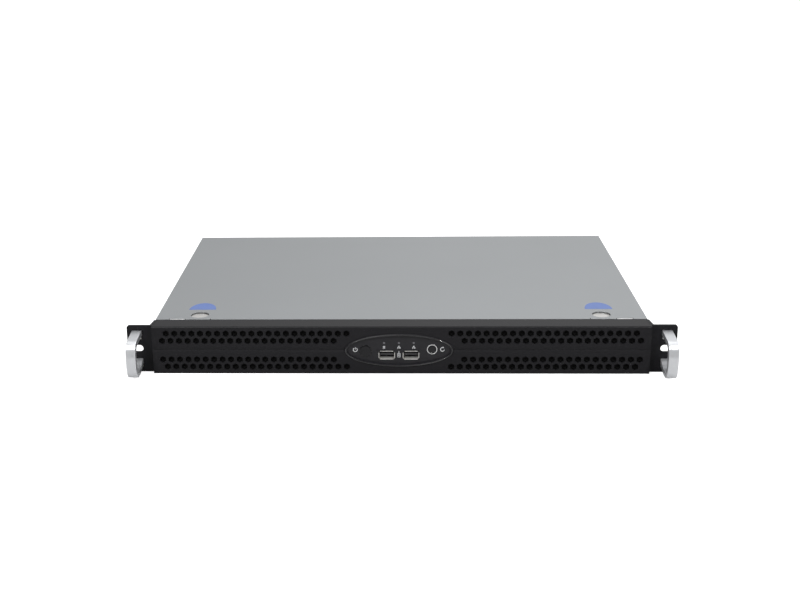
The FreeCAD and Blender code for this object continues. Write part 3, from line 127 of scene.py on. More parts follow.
FINISHES = {
    "cover_steel": finish("zinc_sheet", (0.303, 0.316, 0.326), roughness=0.42, metallic=0.65,
                          mottle=0.03, mottle_scale=9.0, grain=0.10, grain_scale=2400.0),
    "tray_steel": finish("tray_sheet", (0.42, 0.43, 0.44), roughness=0.38, metallic=0.8,
                         mottle=0.05, mottle_scale=14.0, grain=0.12, grain_scale=2000.0),
    "bezel_black": finish("bezel_plastic", (0.0050, 0.0047, 0.0062), roughness=0.50, mottle=0.06,
                          mottle_scale=30.0, grain=0.35, grain_scale=2600.0, shine=0.24),
    "panel_black": finish("panel_plastic", (0.0105, 0.0102, 0.0122), roughness=0.42, mottle=0.05,
                          mottle_scale=40.0, grain=0.25, grain_scale=2600.0, shine=0.30),
    "button_black": finish("gloss_button", (0.004, 0.004, 0.005), roughness=0.2, mottle=0.05,
                           mottle_scale=60.0, shine=0.3),
    "button_grey": finish("dark_button", (0.006, 0.006, 0.007), roughness=0.3, mottle=0.5,
                          mottle_scale=900.0, grain=0.6, shine=0.3),
    "ear_paint": finish("ear_powder_coat", (0.0062, 0.0060, 0.0076), roughness=0.5, mottle=0.06,
                        mottle_scale=50.0, grain=0.5, grain_scale=2200.0, shine=0.18),
    "handle_metal": finish("satin_anodised", (0.66, 0.67, 0.69), roughness=0.42, metallic=0.9,
                           mottle=0.03, mottle_scale=30.0, grain=0.15, grain_scale=3000.0,
                           stretch=BRUSH_X),
    "screw_metal": finish("bright_zinc", (0.60, 0.59, 0.575), roughness=0.38, metallic=0.85,
                          mottle=0.06, mottle_scale=200.0, grain=0.1),
    "brass_post": finish("turned_brass", (0.65, 0.48, 0.20), roughness=0.3, metallic=1.0,
                         mottle=0.08, mottle_scale=150.0, grain=0.1),
    "spring_steel": finish("spring_wire", (0.35, 0.35, 0.36), roughness=0.35, metallic=1.0),
    "circuit_board": finish("solder_mask", (0.010, 0.075, 0.028), roughness=0.35, mottle=0.25,
                            mottle_scale=240.0, grain=0.2, grain_scale=900.0, coat=0.3),
    "port_shell": finish("plated_shell", (0.76, 0.75, 0.72), roughness=0.34, metallic=0.8,
                         mottle=0.05, mottle_scale=100.0, grain=0.05),
    "white_plastic": finish("ivory_plastic", (0.72, 0.71, 0.66), roughness=0.45, mottle=0.04,
                            mottle_scale=80.0, grain=0.1),
    "black_plastic": finish("dark_moulding", (0.018, 0.018, 0.019), roughness=0.45, mottle=0.1,
                            mottle_scale=90.0, grain=0.2),
    "lens_plastic": finish("smoked_lens", (0.10, 0.10, 0.11), roughness=0.2, mottle=0.05,
                           mottle_scale=200.0, coat=0.5),
    "sink_metal": finish("extruded_aluminium", (0.66, 0.67, 0.69), roughness=0.32, metallic=0.95,
                         mottle=0.04, mottle_scale=40.0, grain=0.15, grain_scale=1600.0,
                         stretch=BRUSH_Z),
    "drive_metal": finish("cast_case", (0.42, 0.43, 0.45), roughness=0.4, metallic=0.85,
                          mottle=0.08, mottle_scale=60.0, grain=0.3, grain_scale=1400.0),
    "cable_black": finish("black_sleeve", (0.015, 0.015, 0.016), roughness=0.55, mottle=0.1,
                          mottle_scale=300.0, grain=0.3),
    "cable_red": finish("red_sleeve", (0.38, 0.02, 0.015), roughness=0.45, mottle=0.08,
                        mottle_scale=300.0, grain=0.2),
    "cable_grey": finish("grey_sleeve", (0.20, 0.20, 0.21), roughness=0.5, mottle=0.08,
                         mottle_scale=300.0, grain=0.2),
}
# a near-black, nearly matt finish for painted shade: the sheets behind the honeycomb holes and the
# strips in the cover's slits
SHADE_BLACK = finish("painted_shade_black", (0.004, 0.004, 0.004), roughness=0.95, mottle=0.3,
              mottle_scale=500.0, grain=0.9, grain_scale=700.0, shine=0.1)
RIM_GLOSS = finish("rim_gloss", (0.005, 0.005, 0.006), roughness=0.10, mottle=0.04,
                   mottle_scale=60.0, coat=0.9)
RING_SILVER = finish("ring_silver", (0.58, 0.58, 0.58), roughness=0.35, metallic=0.3, mottle=0.04,
                     mottle_scale=300.0)
BARE_STEEL = finish("bare_steel", (0.85, 0.85, 0.86), roughness=0.35, metallic=0.6, mottle=0.03,
                    mottle_scale=200.0)
PRINT_WHITE = finish("print_white", (0.55, 0.56, 0.57), roughness=0.5, mottle=0.05,
                     mottle_scale=400.0)
TOUCH_BLUE = finish("touch_blue", (0.088, 0.148, 0.375), roughness=0.45, mottle=0.04,
                    mottle_scale=60.0, grain=0.1)


# ---- CAD pieces: finish and softened edges -----------------------------------------------------

# edge radius of each moulded or folded piece, in millimetres; the others stay sharp
EDGE_WIDTHS = {
    "front_bezel": 0.25, "control_panel": 0.15, "ear_left": 0.35, "ear_right": 0.35,
    "handle_left": 0.5, "handle_right": 0.5, "top_cover": 0.2, "chassis_base": 0.2,
    "psu_case": 0.25, "hard_drive": 0.4, "front_usb_shells": 0.1, "power_button": 0.3,
}
SHARP_ANGLE = math.radians(28)
WELD_REACH = 0.002 * MM


def soften(thing, width):
    """Joins the loose triangles, gives the edges a small radius and keeps curved faces smooth."""
    for face in thing.data.polygons:
        face.use_smooth = True
    weld = thing.modifiers.new("join", "WELD")
    weld.merge_threshold = WELD_REACH
    if width:
        bevel = thing.modifiers.new("edge", "BEVEL")
        bevel.width = width * MM
        bevel.segments = 2
        bevel.limit_method = "ANGLE"
        bevel.angle_limit = SHARP_ANGLE
        bevel.use_clamp_overlap = True
        bevel.harden_normals = True
        bevel.miter_outer = "MITER_ARC"
    split = thing.modifiers.new("crease", "EDGE_SPLIT")
    split.split_angle = SHARP_ANGLE
    split.use_edge_sharp = False
    even = thing.modifiers.new("even", "WEIGHTED_NORMAL")
    even.weight = 90


for part in frame["record"]["subparts"]:
    node = frame["nodes"][part["node"]]
    node.data.materials.clear()
    node.data.materials.append(FINISHES[part["material_slot"]])
    soften(node, EDGE_WIDTHS.get(part["node"], 0.0))


# ---- making pieces -----------------------------------------------------------------------------


def piece(name, shape, material, body):
    """Turns a finished bmesh into a named piece that rides on a CAD body."""
    mesh = bpy.data.meshes.new(name)
    shape.to_mesh(mesh)
    shape.free()
    mesh.materials.append(material)
    thing = bpy.data.objects.new(name, mesh)
    bpy.context.scene.collection.objects.link(thing)
    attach(thing, body)
    return thing


def facing_front(x, y, z):
    """Stands a shape drawn in XY upright at a place on the front, its +Y up, facing forward."""
    return Matrix.Translation((x, y, z)) @ Matrix.Rotation(math.radians(90), 4, "X")


def middle(node):
    """The centre of a CAD piece's bounding box."""
    low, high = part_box(node)
    return (low + high) / 2


def arc_band(shape, radius, width, start, end, steps, place):
    """A flat band along an arc, drawn in XY; tags mark what is already in its place."""
    first = [shape.verts.new((reach, 0, 0)) for reach in (radius - width / 2, radius + width / 2)]
    turn = Matrix.Rotation(math.radians(start), 4, "Z")
    bmesh.ops.transform(shape, matrix=turn, verts=first)
    edge = shape.edges.new(first)
    bmesh.ops.spin(shape, geom=[*first, edge], cent=(0, 0, 0), axis=(0, 0, 1),
                   angle=math.radians(end - start), steps=steps, use_merge=False,
                   use_duplicate=False)
    strip = {vert for face in shape.faces for vert in face.verts if not vert.tag}
    for vert in strip:
        vert.tag = True
    bmesh.ops.transform(shape, matrix=place, verts=list(strip))


def flat_block(shape, wide, high, thick, place):
    """A small rectangular plate centred on its place."""
    size = Matrix.Diagonal((wide, high, thick, 1))
    made = bmesh.ops.create_cube(shape, size=1, matrix=place @ size)
    for vert in made["verts"]:
        vert.tag = True


def thicken(shape, depth):
    """Gives flat bands a body, so that a printed mark stands a hair off its surface."""
    bmesh.ops.recalc_face_normals(shape, faces=shape.faces)
    bmesh.ops.solidify(shape, geom=shape.faces[:], thickness=depth)
    bmesh.ops.recalc_face_normals(shape, faces=shape.faces)


def draw_out(shape, faces, step):
    """Extrudes a sheet of faces along a step, which closes it into a body."""
    grown = bmesh.ops.extrude_face_region(shape, geom=faces)
    moved = [item for item in grown["geom"] if isinstance(item, bmesh.types.BMVert)]
    bmesh.ops.translate(shape, verts=moved, vec=step)
    bmesh.ops.recalc_face_normals(shape, faces=shape.faces)


def oval_loop(shape, long, short, place, steps=96):
    """A closed run of edges round an oval drawn in XY."""
    made = bmesh.ops.create_circle(shape, segments=steps, radius=1.0,
                                   matrix=place @ Matrix.Diagonal((long, short, 1, 1)))
    return list({edge for vert in made["verts"] for edge in vert.link_edges})


def oval_bead(shape, long, short, width, height, place):
    """A raised bead along an oval: low at both edges and full in the middle."""
    lift = Matrix.Translation((0, 0, height))
    rest = Matrix.Translation((0, 0, height * 0.8))
    levels = [(0, Matrix()), (0.2, rest), (0.5, lift), (0.8, rest), (1, Matrix())]
    loops = [oval_loop(shape, long - share * width, short - share * width, place @ raised)
             for share, raised in levels]
    for outer, inner in zip(loops, loops[1:]):
        bmesh.ops.bridge_loops(shape, edges=outer + inner)
    bmesh.ops.recalc_face_normals(shape, faces=shape.faces)
    for face in shape.faces:
        face.smooth = True


def pan_head(radius, height):
    """A domed screw head with a cross recess, seated on XY and facing +Z."""
    shape = bmesh.new()
    rim = bmesh.ops.create_circle(shape, segments=24, radius=radius)
    loop = list({edge for vert in rim["verts"] for edge in vert.link_edges})
    for share, level in ((0.97, 0.5), (0.84, 0.82), (0.6, 1.0)):
        grown = bmesh.ops.extrude_edge_only(shape, edges=loop)
        verts = [item for item in grown["geom"] if isinstance(item, bmesh.types.BMVert)]
        flat = [vert.co.to_2d().normalized() * radius * share for vert in verts]
        for vert, spot in zip(verts, flat):
            vert.co = (spot.x, spot.y, height * level)
        loop = [item for item in grown["geom"] if isinstance(item, bmesh.types.BMEdge)]
    bmesh.ops.contextual_create(shape, geom=loop)
    for side in (1, -1):
        for angle in (0, 90):
            turn = Matrix.Rotation(math.radians(angle), 3, "Z")
            bmesh.ops.bisect_plane(shape, geom=[*shape.faces, *shape.edges, *shape.verts],
                                   plane_co=turn @ Vector((0, side * radius * 0.11, 0)),
                                   plane_no=turn @ Vector((0, 1, 0)))
    arm = radius * 0.12
    cross = [face for face in shape.faces
             if face.calc_center_median().z > height * 0.99
             and min(abs(face.calc_center_median().x), abs(face.calc_center_median().y)) < arm]
    sunk = bmesh.ops.extrude_face_region(shape, geom=cross)
    bmesh.ops.delete(shape, geom=cross, context="FACES")
    bmesh.ops.translate(shape, vec=(0, 0, -height * 0.6), verts=[
        item for item in sunk["geom"] if isinstance(item, bmesh.types.BMVert)])
    bmesh.ops.recalc_face_normals(shape, faces=shape.faces)
    mesh = bpy.data.meshes.new("pan_head")
    shape.to_mesh(mesh)
    shape.free()
    return mesh


def screws(name, places, axis, radius, height):
    """One piece with a screw head at each place, all facing along the axis."""
    head = pan_head(radius, height)
    shape = bmesh.new()
    aim = Vector(axis).to_track_quat("Z", "Y").to_matrix().to_4x4()
    for number, place in enumerate(places):
        start = len(shape.verts)
        shape.from_mesh(head)
        shape.verts.ensure_lookup_table()
        spin = Matrix.Rotation(math.radians(37 * number), 4, "Z")
        bmesh.ops.transform(shape, matrix=Matrix.Translation(place) @ aim @ spin,
                            verts=shape.verts[start:])
    bpy.data.meshes.remove(head)
    piece(name, shape, FINISHES["screw_metal"], "chassis")


# ---- printed marks, trim and small parts -------------------------------------------------------

PRINT_THICK = 0.06 * MM
LIP_TO_FACE = 2.2 * MM
MARK_REACH = 9.0 * MM
LAMP_TO_MARK = 4.0 * MM
panel_low, panel_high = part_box("control_panel")
panel_middle = (panel_low + panel_high) / 2
face_y = panel_low.y + LIP_TO_FACE
print_y = face_y - PRINT_THICK


def panel_marks():
    """Printed symbols: a broken ring with a bar for power, an open ring with a head for reset."""
    power = middle("power_button")
    reset = middle("reset_button")
    shape = bmesh.new()
    place = facing_front(power.x - MARK_REACH, print_y, power.z + 1.3 * MM)
    arc_band(shape, radius=1.8 * MM, width=0.55 * MM, start=125, end=415, steps=22, place=place)
    thicken(shape, PRINT_THICK)
    flat_block(shape, 0.5 * MM, 1.9 * MM, PRINT_THICK,
               facing_front(power.x - MARK_REACH, print_y, power.z + 2.5 * MM))
    piece("power_mark", shape, PRINT_WHITE, "chassis")
    shape = bmesh.new()
    place = facing_front(reset.x + MARK_REACH, print_y, reset.z)
    arc_band(shape, radius=1.7 * MM, width=0.6 * MM, start=70, end=350, steps=22, place=place)
    thicken(shape, PRINT_THICK)
    tip = bmesh.ops.create_circle(
        shape, cap_ends=True, segments=3, radius=0.95 * MM,
        matrix=facing_front(reset.x + MARK_REACH + 0.7 * MM, print_y, reset.z + 1.7 * MM))
    head = list({face for vert in tip["verts"] for face in vert.link_faces})
    draw_out(shape, head, (0, PRINT_THICK, 0))
    piece("reset_mark", shape, PRINT_WHITE, "chassis")


def lamp_marks():
    """Under each lamp a small sign: a stacked disc for the drive, joined boxes for the network."""
    lamps_low, lamps_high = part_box("led_lenses")
    spread = (lamps_high.x - lamps_low.x) / 2 - 0.9 * MM
    z = (lamps_low.z + lamps_high.z) / 2 - LAMP_TO_MARK
    shape = bmesh.new()
    for row in range(3):
        flat_block(shape, 2.0 * MM, 0.5 * MM, PRINT_THICK,
                   facing_front(-spread, print_y, z + (row - 1) * 0.8 * MM))
    piece("drive_mark", shape, PRINT_WHITE, "chassis")
    for number, x in enumerate((0.0, spread), 1):
        shape = bmesh.new()
        for across, up in ((0, 0.8), (-0.9, -0.7), (0.9, -0.7)):
            flat_block(shape, 1.0 * MM, 0.9 * MM, PRINT_THICK,
                       facing_front(x + across * MM, print_y, z + up * MM))
        flat_block(shape, 2.4 * MM, 0.25 * MM, PRINT_THICK, facing_front(x, print_y, z))
        piece(f"network_mark_{number}", shape, PRINT_WHITE, "chassis")


def touch_marks():
    """Half-moon finger marks printed on the cover behind each release button."""
    cover_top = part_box("top_cover")[1].z
    radius = 12.3 * MM
    reach = 19.0 * MM
    gap = 14.6 * MM
    for name in ("left", "right"):
        button = middle(f"release_button_{name}")
        shape = bmesh.new()
        bmesh.ops.create_circle(shape, cap_ends=True, segments=64, radius=1.0)
        bmesh.ops.bisect_plane(shape, geom=shape.verts[:] + shape.edges[:] + shape.faces[:],
                               plane_co=(0, 0, 0), plane_no=(0, -1, 0), clear_outer=True)
        bmesh.ops.triangulate(shape, faces=shape.faces[:])
        spot = Matrix.Translation((button.x, button.y + gap, cover_top))
        bmesh.ops.transform(shape, verts=shape.verts[:],
                            matrix=spot @ Matrix.Diagonal((radius, reach, 1, 1)))
        bmesh.ops.recalc_face_normals(shape, faces=shape.faces)
        draw_out(shape, shape.faces[:], (0, 0, PRINT_THICK))
        piece(f"touch_mark_{name}", shape, TOUCH_BLUE, "cover")


def panel_trim():
    """The glossy bead round the oval panel, and the rings round the two buttons."""
    inset = 0.45 * MM
    shape = bmesh.new()
    bead_y = panel_low.y + 0.05 * MM
    long = (panel_high.x - panel_low.x) / 2 - inset
    short = (panel_high.z - panel_low.z) / 2 - inset
    oval_bead(shape, long, short, width=0.9 * MM, height=0.35 * MM,
              place=facing_front(panel_middle.x, bead_y, panel_middle.z))
    piece("panel_bead", shape, RIM_GLOSS, "chassis")
    reset = middle("reset_button")
    shape = bmesh.new()
    ring_y = face_y - 0.3 * MM
    oval_bead(shape, long=4.5 * MM, short=4.5 * MM, width=0.6 * MM, height=0.12 * MM,
              place=facing_front(reset.x, ring_y, reset.z))
    piece("reset_ring", shape, RING_SILVER, "chassis")
    power = middle("power_button")
    shape = bmesh.new()
    oval_bead(shape, long=5.8 * MM, short=5.8 * MM, width=0.5 * MM, height=0.2 * MM,
              place=facing_front(power.x, face_y - 0.01 * MM, power.z))
    piece("power_ring", shape, RIM_GLOSS, "chassis")


def port_corners():
    """Moulded corners that narrow the flared lips of each front port."""
    low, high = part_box("front_usb_shells")
    wide = 14.4 * MM
    side = 2.3 * MM
    turn = Matrix.Rotation(math.radians(45), 4, "Z")
    shape = bmesh.new()
    for left in (low.x, high.x - wide):
        for x in (left, left + wide):
            for z in (low.z, high.z):
                flat_block(shape, side, side, 0.3 * MM,
                           facing_front(x, low.y - 0.12 * MM, z) @ turn)
    piece("port_corners", shape, FINISHES["panel_black"], "chassis")


def port_mark():
    """Between the ports a plain sign: a framed socket with two contacts."""
    shape = bmesh.new()
    z = middle("front_usb_shells").z + 0.8 * MM
    for wide, high, across, up in ((0.45, 3.4, -1.1, -0.9), (0.45, 3.4, 1.1, -0.9),
                                   (2.65, 0.45, 0, 0.8), (2.65, 0.45, 0, -2.6),
                                   (0.7, 1.6, 0, -0.9), (0.5, 1.9, 0, 2.0)):
        flat_block(shape, wide * MM, high * MM, PRINT_THICK,
                   facing_front(panel_middle.x + across * MM, print_y, z + up * MM))
    piece("port_mark", shape, PRINT_WHITE, "chassis")


def honeycomb_shade_sheet():
    """Near-black sheets behind the honeycomb on both sides, notched round the panel's neck:
    painted shade that keeps the holes dark.
    """
    bezel_low, bezel_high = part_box("front_bezel")
    near = bezel_low.y + 2.4 * MM
    depth = 4.0 * MM
    neck = 42.3 * MM
    edge = (panel_high.x - panel_low.x) / 2 + 0.6 * MM
    columns = (neck, edge, bezel_high.x - 5.0 * MM)
    rows = (bezel_low.z + 2.6 * MM, 14.0 * MM, 30.0 * MM, bezel_high.z - 3.9 * MM)
    for name, side in (("left", -1), ("right", 1)):
        shape = bmesh.new()
        bmesh.ops.create_grid(shape, x_segments=2, y_segments=3, size=1)
        middles = {face: face.calc_center_median() for face in shape.faces}
        notch = min(shape.faces, key=lambda face: middles[face].x + 3 * abs(middles[face].y))
        bmesh.ops.delete(shape, geom=[notch], context="FACES")
        for vert in shape.verts:
            column = round(vert.co.x + 1)
            row = round((vert.co.y + 1) * 1.5)
            vert.co = Vector((side * columns[column], near, rows[row]))
        # a near-black sheet of painted shade, so the holes read dark instead of showing the lit
        # tray inside
        draw_out(shape, shape.faces[:], (0, depth, 0))
        piece(f"honeycomb_shade_sheet_{name}", shape, SHADE_BLACK, "chassis")


def cover_tabs():
    """Bright folded tabs in the cover's front notches, and beside them short slits painted on the
    cover as dark strips of shade.
    """
    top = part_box("top_cover")[1].z
    tab_x = 198.5 * MM
    slit_x = 168.5 * MM
    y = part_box("front_bezel")[0].y + 21.1 * MM
    for side, name in ((-1, "left"), (1, "right")):
        shape = bmesh.new()
        flat_block(shape, 13.4 * MM, 1.3 * MM, 0.5 * MM,
                   Matrix.Translation((side * tab_x, y, top - 0.3 * MM)))
        bmesh.ops.bevel(shape, geom=shape.edges[:], offset=0.1 * MM, segments=2, affect="EDGES")
        piece(f"cover_tab_{name}", shape, BARE_STEEL, "cover")
        # a near-black strip on the cover: painted shade standing in for the dark inside of a slit
        shape = bmesh.new()
        flat_block(shape, 0.9 * MM, 1.6 * MM, PRINT_THICK,
                   Matrix.Translation((side * slit_x, y, top + PRINT_THICK / 2)))
        piece(f"cover_slit_shade_{name}", shape, SHADE_BLACK, "cover")


def release_springs():
    """Bowed strips between shelf and button, put in place of the hidden CAD springs."""
    thick = 0.4 * MM
    crown = 2.6 * MM
    foot = 6.2 * MM
    window_half = 2.4 * MM
    for side in ("left", "right"):
        low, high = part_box(f"release_spring_{side}")
        centre = (low + high) / 2
        lift = high.z - low.z - thick
        place = Matrix.Translation((centre.x, centre.y, 0)) @ Matrix.Diagonal(
            ((high.x - low.x) / 2, (high.y - low.y) / 2, 1, 1))
        shape = bmesh.new()
        bmesh.ops.create_grid(shape, x_segments=28, y_segments=9, size=1, matrix=place)
        middles = {face: face.calc_center_median() - centre for face in shape.faces}
        window = [face for face, spot in middles.items()
                  if max(abs(spot.x), abs(spot.y)) < window_half]
        bmesh.ops.delete(shape, geom=window, context="FACES")
        for vert in shape.verts:
            share = (abs(vert.co.x - centre.x) - crown) / (foot - crown)
            share = min(max(share, 0.0), 1.0)
            vert.co.z = low.z + lift * (0.5 + 0.5 * math.cos(math.pi * share))
        draw_out(shape, shape.faces[:], (0, 0, thick))
        bow = piece(f"release_bow_{side}", shape, FINISHES["spring_steel"], "chassis")
        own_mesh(bow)
        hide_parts(f"release_spring_{side}")


def fasteners():
    """Screw heads on the ears, behind the handles, on board and cooler, and on the back wall."""
    ear_plate = 2.5 * MM
    ear_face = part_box("front_bezel")[0].y + 4.6 * MM
    for side, name in ((-1, "left"), (1, "right")):
        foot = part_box(f"ear_{name}")[0].z
        handle_low, handle_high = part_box(f"handle_{name}")
        inner = min(abs(handle_low.x), abs(handle_high.x)) + 1.5 * MM
        screws(f"ear_front_screws_{name}",
               [(side * inner, ear_face, foot + up * MM) for up in (5.5, 31.5)],
               (0, -1, 0), radius=0.9 * MM, height=0.5 * MM)
        centre = (handle_low.x + handle_high.x) / 2
        screws(f"handle_screws_{name}",
               [(centre, ear_face + ear_plate, foot + up * MM) for up in (10.6, 36.8)],
               (0, 1, 0), radius=2.6 * MM, height=1.4 * MM)
    board_low, board_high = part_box("motherboard")
    posts_low, posts_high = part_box("board_standoffs")
    inset = 6.35 * MM
    post = 3.0 * MM
    left, right = board_low.x + inset, board_high.x - inset
    front, rear = posts_low.y + post, posts_high.y - post
    screws("board_screws",
           [(x, y, board_high.z) for x, y in ((left, rear), (right, front), (right, rear))],
           (0, 0, 1), radius=2.7 * MM, height=1.5 * MM)
    sink_low, sink_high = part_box("heatsink")
    screws("heatsink_screws",
           [(x, y, sink_low.z + 4.0 * MM) for x in (sink_low.x + 4.2 * MM, sink_high.x - 4.2 * MM)
            for y in (sink_low.y + 6.0 * MM, sink_high.y - 6.0 * MM)],
           (0, 0, 1), radius=2.9 * MM, height=2.0 * MM)
    case_low, case_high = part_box("psu_case")
    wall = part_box("chassis_base")[1].y
    screws("supply_screws",
           [(x, wall, z) for x in (case_high.x - 5.0 * MM, case_high.x - 43.0 * MM)
            for z in (case_low.z + 5.0 * MM, case_high.z - 6.0 * MM)],
           (0, 1, 0), radius=2.6 * MM, height=1.3 * MM)


def soft_block(shape, x0, x1, y0, y1, z0, z1, edge):
    """A moulded block with rounded edges."""
    size = Matrix.Diagonal((x1 - x0, y1 - y0, z1 - z0, 1))
    place = Matrix.Translation(((x0 + x1) / 2, (y0 + y1) / 2, (z0 + z1) / 2))
    made = bmesh.ops.create_cube(shape, size=1, matrix=place @ size)
    edges = list({item for vert in made["verts"] for item in vert.link_edges})
    bmesh.ops.bevel(shape, geom=edges, offset=edge, segments=2, affect="EDGES")


def chip(name, x, y, z, side, tall, leads):
    """A flat package with a row of gull-wing leads on each side."""
    body = bmesh.new()
    half = side / 2
    soft_block(body, x - half, x + half, y - half, y + half, z + 0.1 * MM, z + tall,
               edge=0.12 * MM)
    piece(name, body, FINISHES["black_plastic"], "chassis")
    legs = bmesh.new()
    pitch = side * 0.86 / (leads - 1)
    for number in range(leads):
        along = (number - (leads - 1) / 2) * pitch
        for turn in range(4):
            place = (Matrix.Translation((x, y, z + 0.25 * MM))
                     @ Matrix.Rotation(math.radians(90 * turn), 4, "Z")
                     @ Matrix.Translation((along, half + 0.45 * MM, 0)))
            flat_block(legs, pitch * 0.45, 0.9 * MM, 0.3 * MM, place)
    piece(f"{name}_leads", legs, FINISHES["screw_metal"], "chassis")


def can(shape, x, y, z, radius, tall):
    """A small round capacitor with a rolled top edge."""
    made = bmesh.ops.create_cone(shape, cap_ends=True, segments=20, radius1=radius,
                                 radius2=radius, depth=tall,
                                 matrix=Matrix.Translation((x, y, z + tall / 2)))
    top = [edge for edge in {item for vert in made["verts"] for item in vert.link_edges}
           if all(vert.co.z > z + tall * 0.9 for vert in edge.verts)]
    bmesh.ops.bevel(shape, geom=top, offset=radius * 0.2, segments=3, affect="EDGES")


def power_stage(x, first, z):
    """A row of round capacitors with chokes beside the first five."""
    pitch = 12.5 * MM
    cans = bmesh.new()
    chokes = bmesh.new()
    for number in range(7):
        y = first + number * pitch
        can(cans, x, y, z, radius=3.1 * MM, tall=8.0 * MM)
        if number < 5:
            soft_block(chokes, x - 15.0 * MM, x - 6.0 * MM, y - 1.0 * MM, y + 8.0 * MM,
                       z, z + 5.5 * MM, edge=0.6 * MM)
    piece("board_capacitors", cans, FINISHES["sink_metal"], "chassis")
    piece("board_chokes", chokes, FINISHES["black_plastic"], "chassis")


def small_parts(low, z, limit):
    """Tiny parts in two fields: in front of the cooler, and along the left edge up to a limit."""
    count = 48
    golden = 0.618034
    shape = bmesh.new()
    for number in range(2 * count):
        share = number * golden % 1
        x = low.x + (40.0 + 86.0 * share) * MM
        y = low.y + (24.5 + 3.4 * (number % 2)) * MM
        if number >= count:
            x = low.x + (8.0 + 20.0 * share) * MM
            y = low.y + (60.0 + 1.55 * (number - count)) * MM
            if x > limit:
                continue
        flat_block(shape, 1.3 * MM, 0.7 * MM, 0.5 * MM,
                   Matrix.Translation((x, y, z + 0.25 * MM)))
    piece("board_small_parts", shape, RING_SILVER, "chassis")


def memory_chips():
    """Eight chips on one side of each memory module."""
    low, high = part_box("memory_modules")
    module = 1.3 * MM
    pitch = 16.2 * MM
    shape = bmesh.new()
    for x in (low.x + module, high.x):
        for number in range(8):
            y = low.y + 10.0 * MM + number * pitch
            soft_block(shape, x, x + 1.1 * MM, y, y + 9.5 * MM,
                       high.z - 14.0 * MM, high.z - 3.0 * MM, edge=0.15 * MM)
    piece("memory_chips", shape, FINISHES["black_plastic"], "chassis")


def board_parts():
    """What stands on the motherboard beside the coolers."""
    low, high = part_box("motherboard")
    z = high.z
    column = low.x + 31.0 * MM
    first = low.y + 60.0 * MM
    front_row = low.y + 14.0 * MM
    power_stage(column, first, z)
    chip("network_chip", column - 17.0 * MM, first + 94.0 * MM, z,
         side=9.0 * MM, tall=1.1 * MM, leads=9)
    chip("control_chip", low.x + 78.0 * MM, front_row, z,
         side=13.0 * MM, tall=1.4 * MM, leads=14)
    chip("memory_chip", low.x + 56.0 * MM, front_row, z,
         side=7.0 * MM, tall=1.1 * MM, leads=7)
    small_parts(low, z, column - 16.5 * MM)
    memory_chips()


def fan_guard():
    """A wire guard over the supply's fan: rings on four spokes."""
    frame_low, frame_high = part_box("psu_fan_frame")
    x = (frame_low.x + frame_high.x) / 2
    z = (frame_low.z + frame_high.z) / 2
    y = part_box("psu_case")[1].y + 0.75 * MM
    gauge = 0.6 * MM
    shape = bmesh.new()
    for radius in (4.5, 8.5, 12.5, 16.2):
        wire = bmesh.ops.create_circle(shape, segments=8, radius=gauge,
                                       matrix=Matrix.Translation((x + radius * MM, y, z)))
        loop = list({edge for vert in wire["verts"] for edge in vert.link_edges})
        bmesh.ops.spin(shape, geom=loop, cent=(x, y, z), axis=(0, 1, 0), steps=40,
                       angle=math.radians(360), use_merge=True)
    for angle in (45, 135, 225, 315):
        turn = Matrix.Translation((x, y, z)) @ Matrix.Rotation(math.radians(angle), 4, "Y")
        bmesh.ops.create_cone(
            shape, cap_ends=True, segments=8, radius1=gauge, radius2=gauge,
            depth=14.0 * MM, matrix=turn @ Matrix.Translation((0, 0, 11.5 * MM)))
    bmesh.ops.recalc_face_normals(shape, faces=shape.faces)
    for face in shape.faces:
        face.smooth = True
    piece("fan_guard", shape, FINISHES["screw_metal"], "chassis")


def copper_tracks():
    """Faint tracks under the boards' varnish."""
    tree = FINISHES["circuit_board"].node_tree
    shader = tree.nodes["Principled BSDF"]
    base = shader.inputs["Base Color"].links[0].from_socket
    coords = tree.nodes.new("ShaderNodeTexCoord")
    cells = tree.nodes.new("ShaderNodeTexVoronoi")
    cells.distance = "CHEBYCHEV"
    cells.inputs["Scale"].default_value = 210.0
    tree.links.new(coords.outputs["Object"], cells.inputs["Vector"])
    line = tree.nodes.new("ShaderNodeMapRange")
    line.inputs["From Min"].default_value = 0.44
    line.inputs["From Max"].default_value = 0.50
    tree.links.new(cells.outputs["Distance"], line.inputs["Value"])
    tint = tree.nodes.new("ShaderNodeMix")
    tint.data_type = "RGBA"
    tint.inputs["B"].default_value = (0.028, 0.15, 0.055, 1)
    tree.links.new(line.outputs["Result"], tint.inputs["Factor"])
    tree.links.new(base, tint.inputs["A"])
    tree.links.new(tint.outputs["Result"], shader.inputs["Base Color"])


copper_tracks()
board_parts()
fan_guard()
panel_marks()
lamp_marks()
touch_marks()
cover_tabs()
panel_trim()
port_corners()
port_mark()
honeycomb_shade_sheet()
release_springs()
fasteners()


# ---- stage -------------------------------------------------------------------------------------


# the surrounding light is weaker in front than behind, and weaker still on the left
FRONT_SKY = 0.20
REAR_SKY = 0.95
LEFT_SHARE = 0.42
FLOOR_LIFT = 0.84
FLOOR_GAP = 0.2 * MM


def white_where_seen(tree, lit):
    """Plain white to the camera and through clear pieces, and the given light everywhere else."""
    path = tree.nodes.new("ShaderNodeLightPath")
    glow = tree.nodes.new("ShaderNodeBackground")
    glow.inputs["Color"].default_value = (1, 1, 1, 1)
    seen = tree.nodes.new("ShaderNodeMath")
    seen.operation = "MAXIMUM"
    tree.links.new(path.outputs["Is Camera Ray"], seen.inputs[0])
    tree.links.new(path.outputs["Is Transmission Ray"], seen.inputs[1])
    mix = tree.nodes.new("ShaderNodeMixShader")
    tree.links.new(seen.outputs[0], mix.inputs["Fac"])
    tree.links.new(lit, mix.inputs[1])
    tree.links.new(glow.outputs[0], mix.inputs[2])
    return mix.outputs[0]


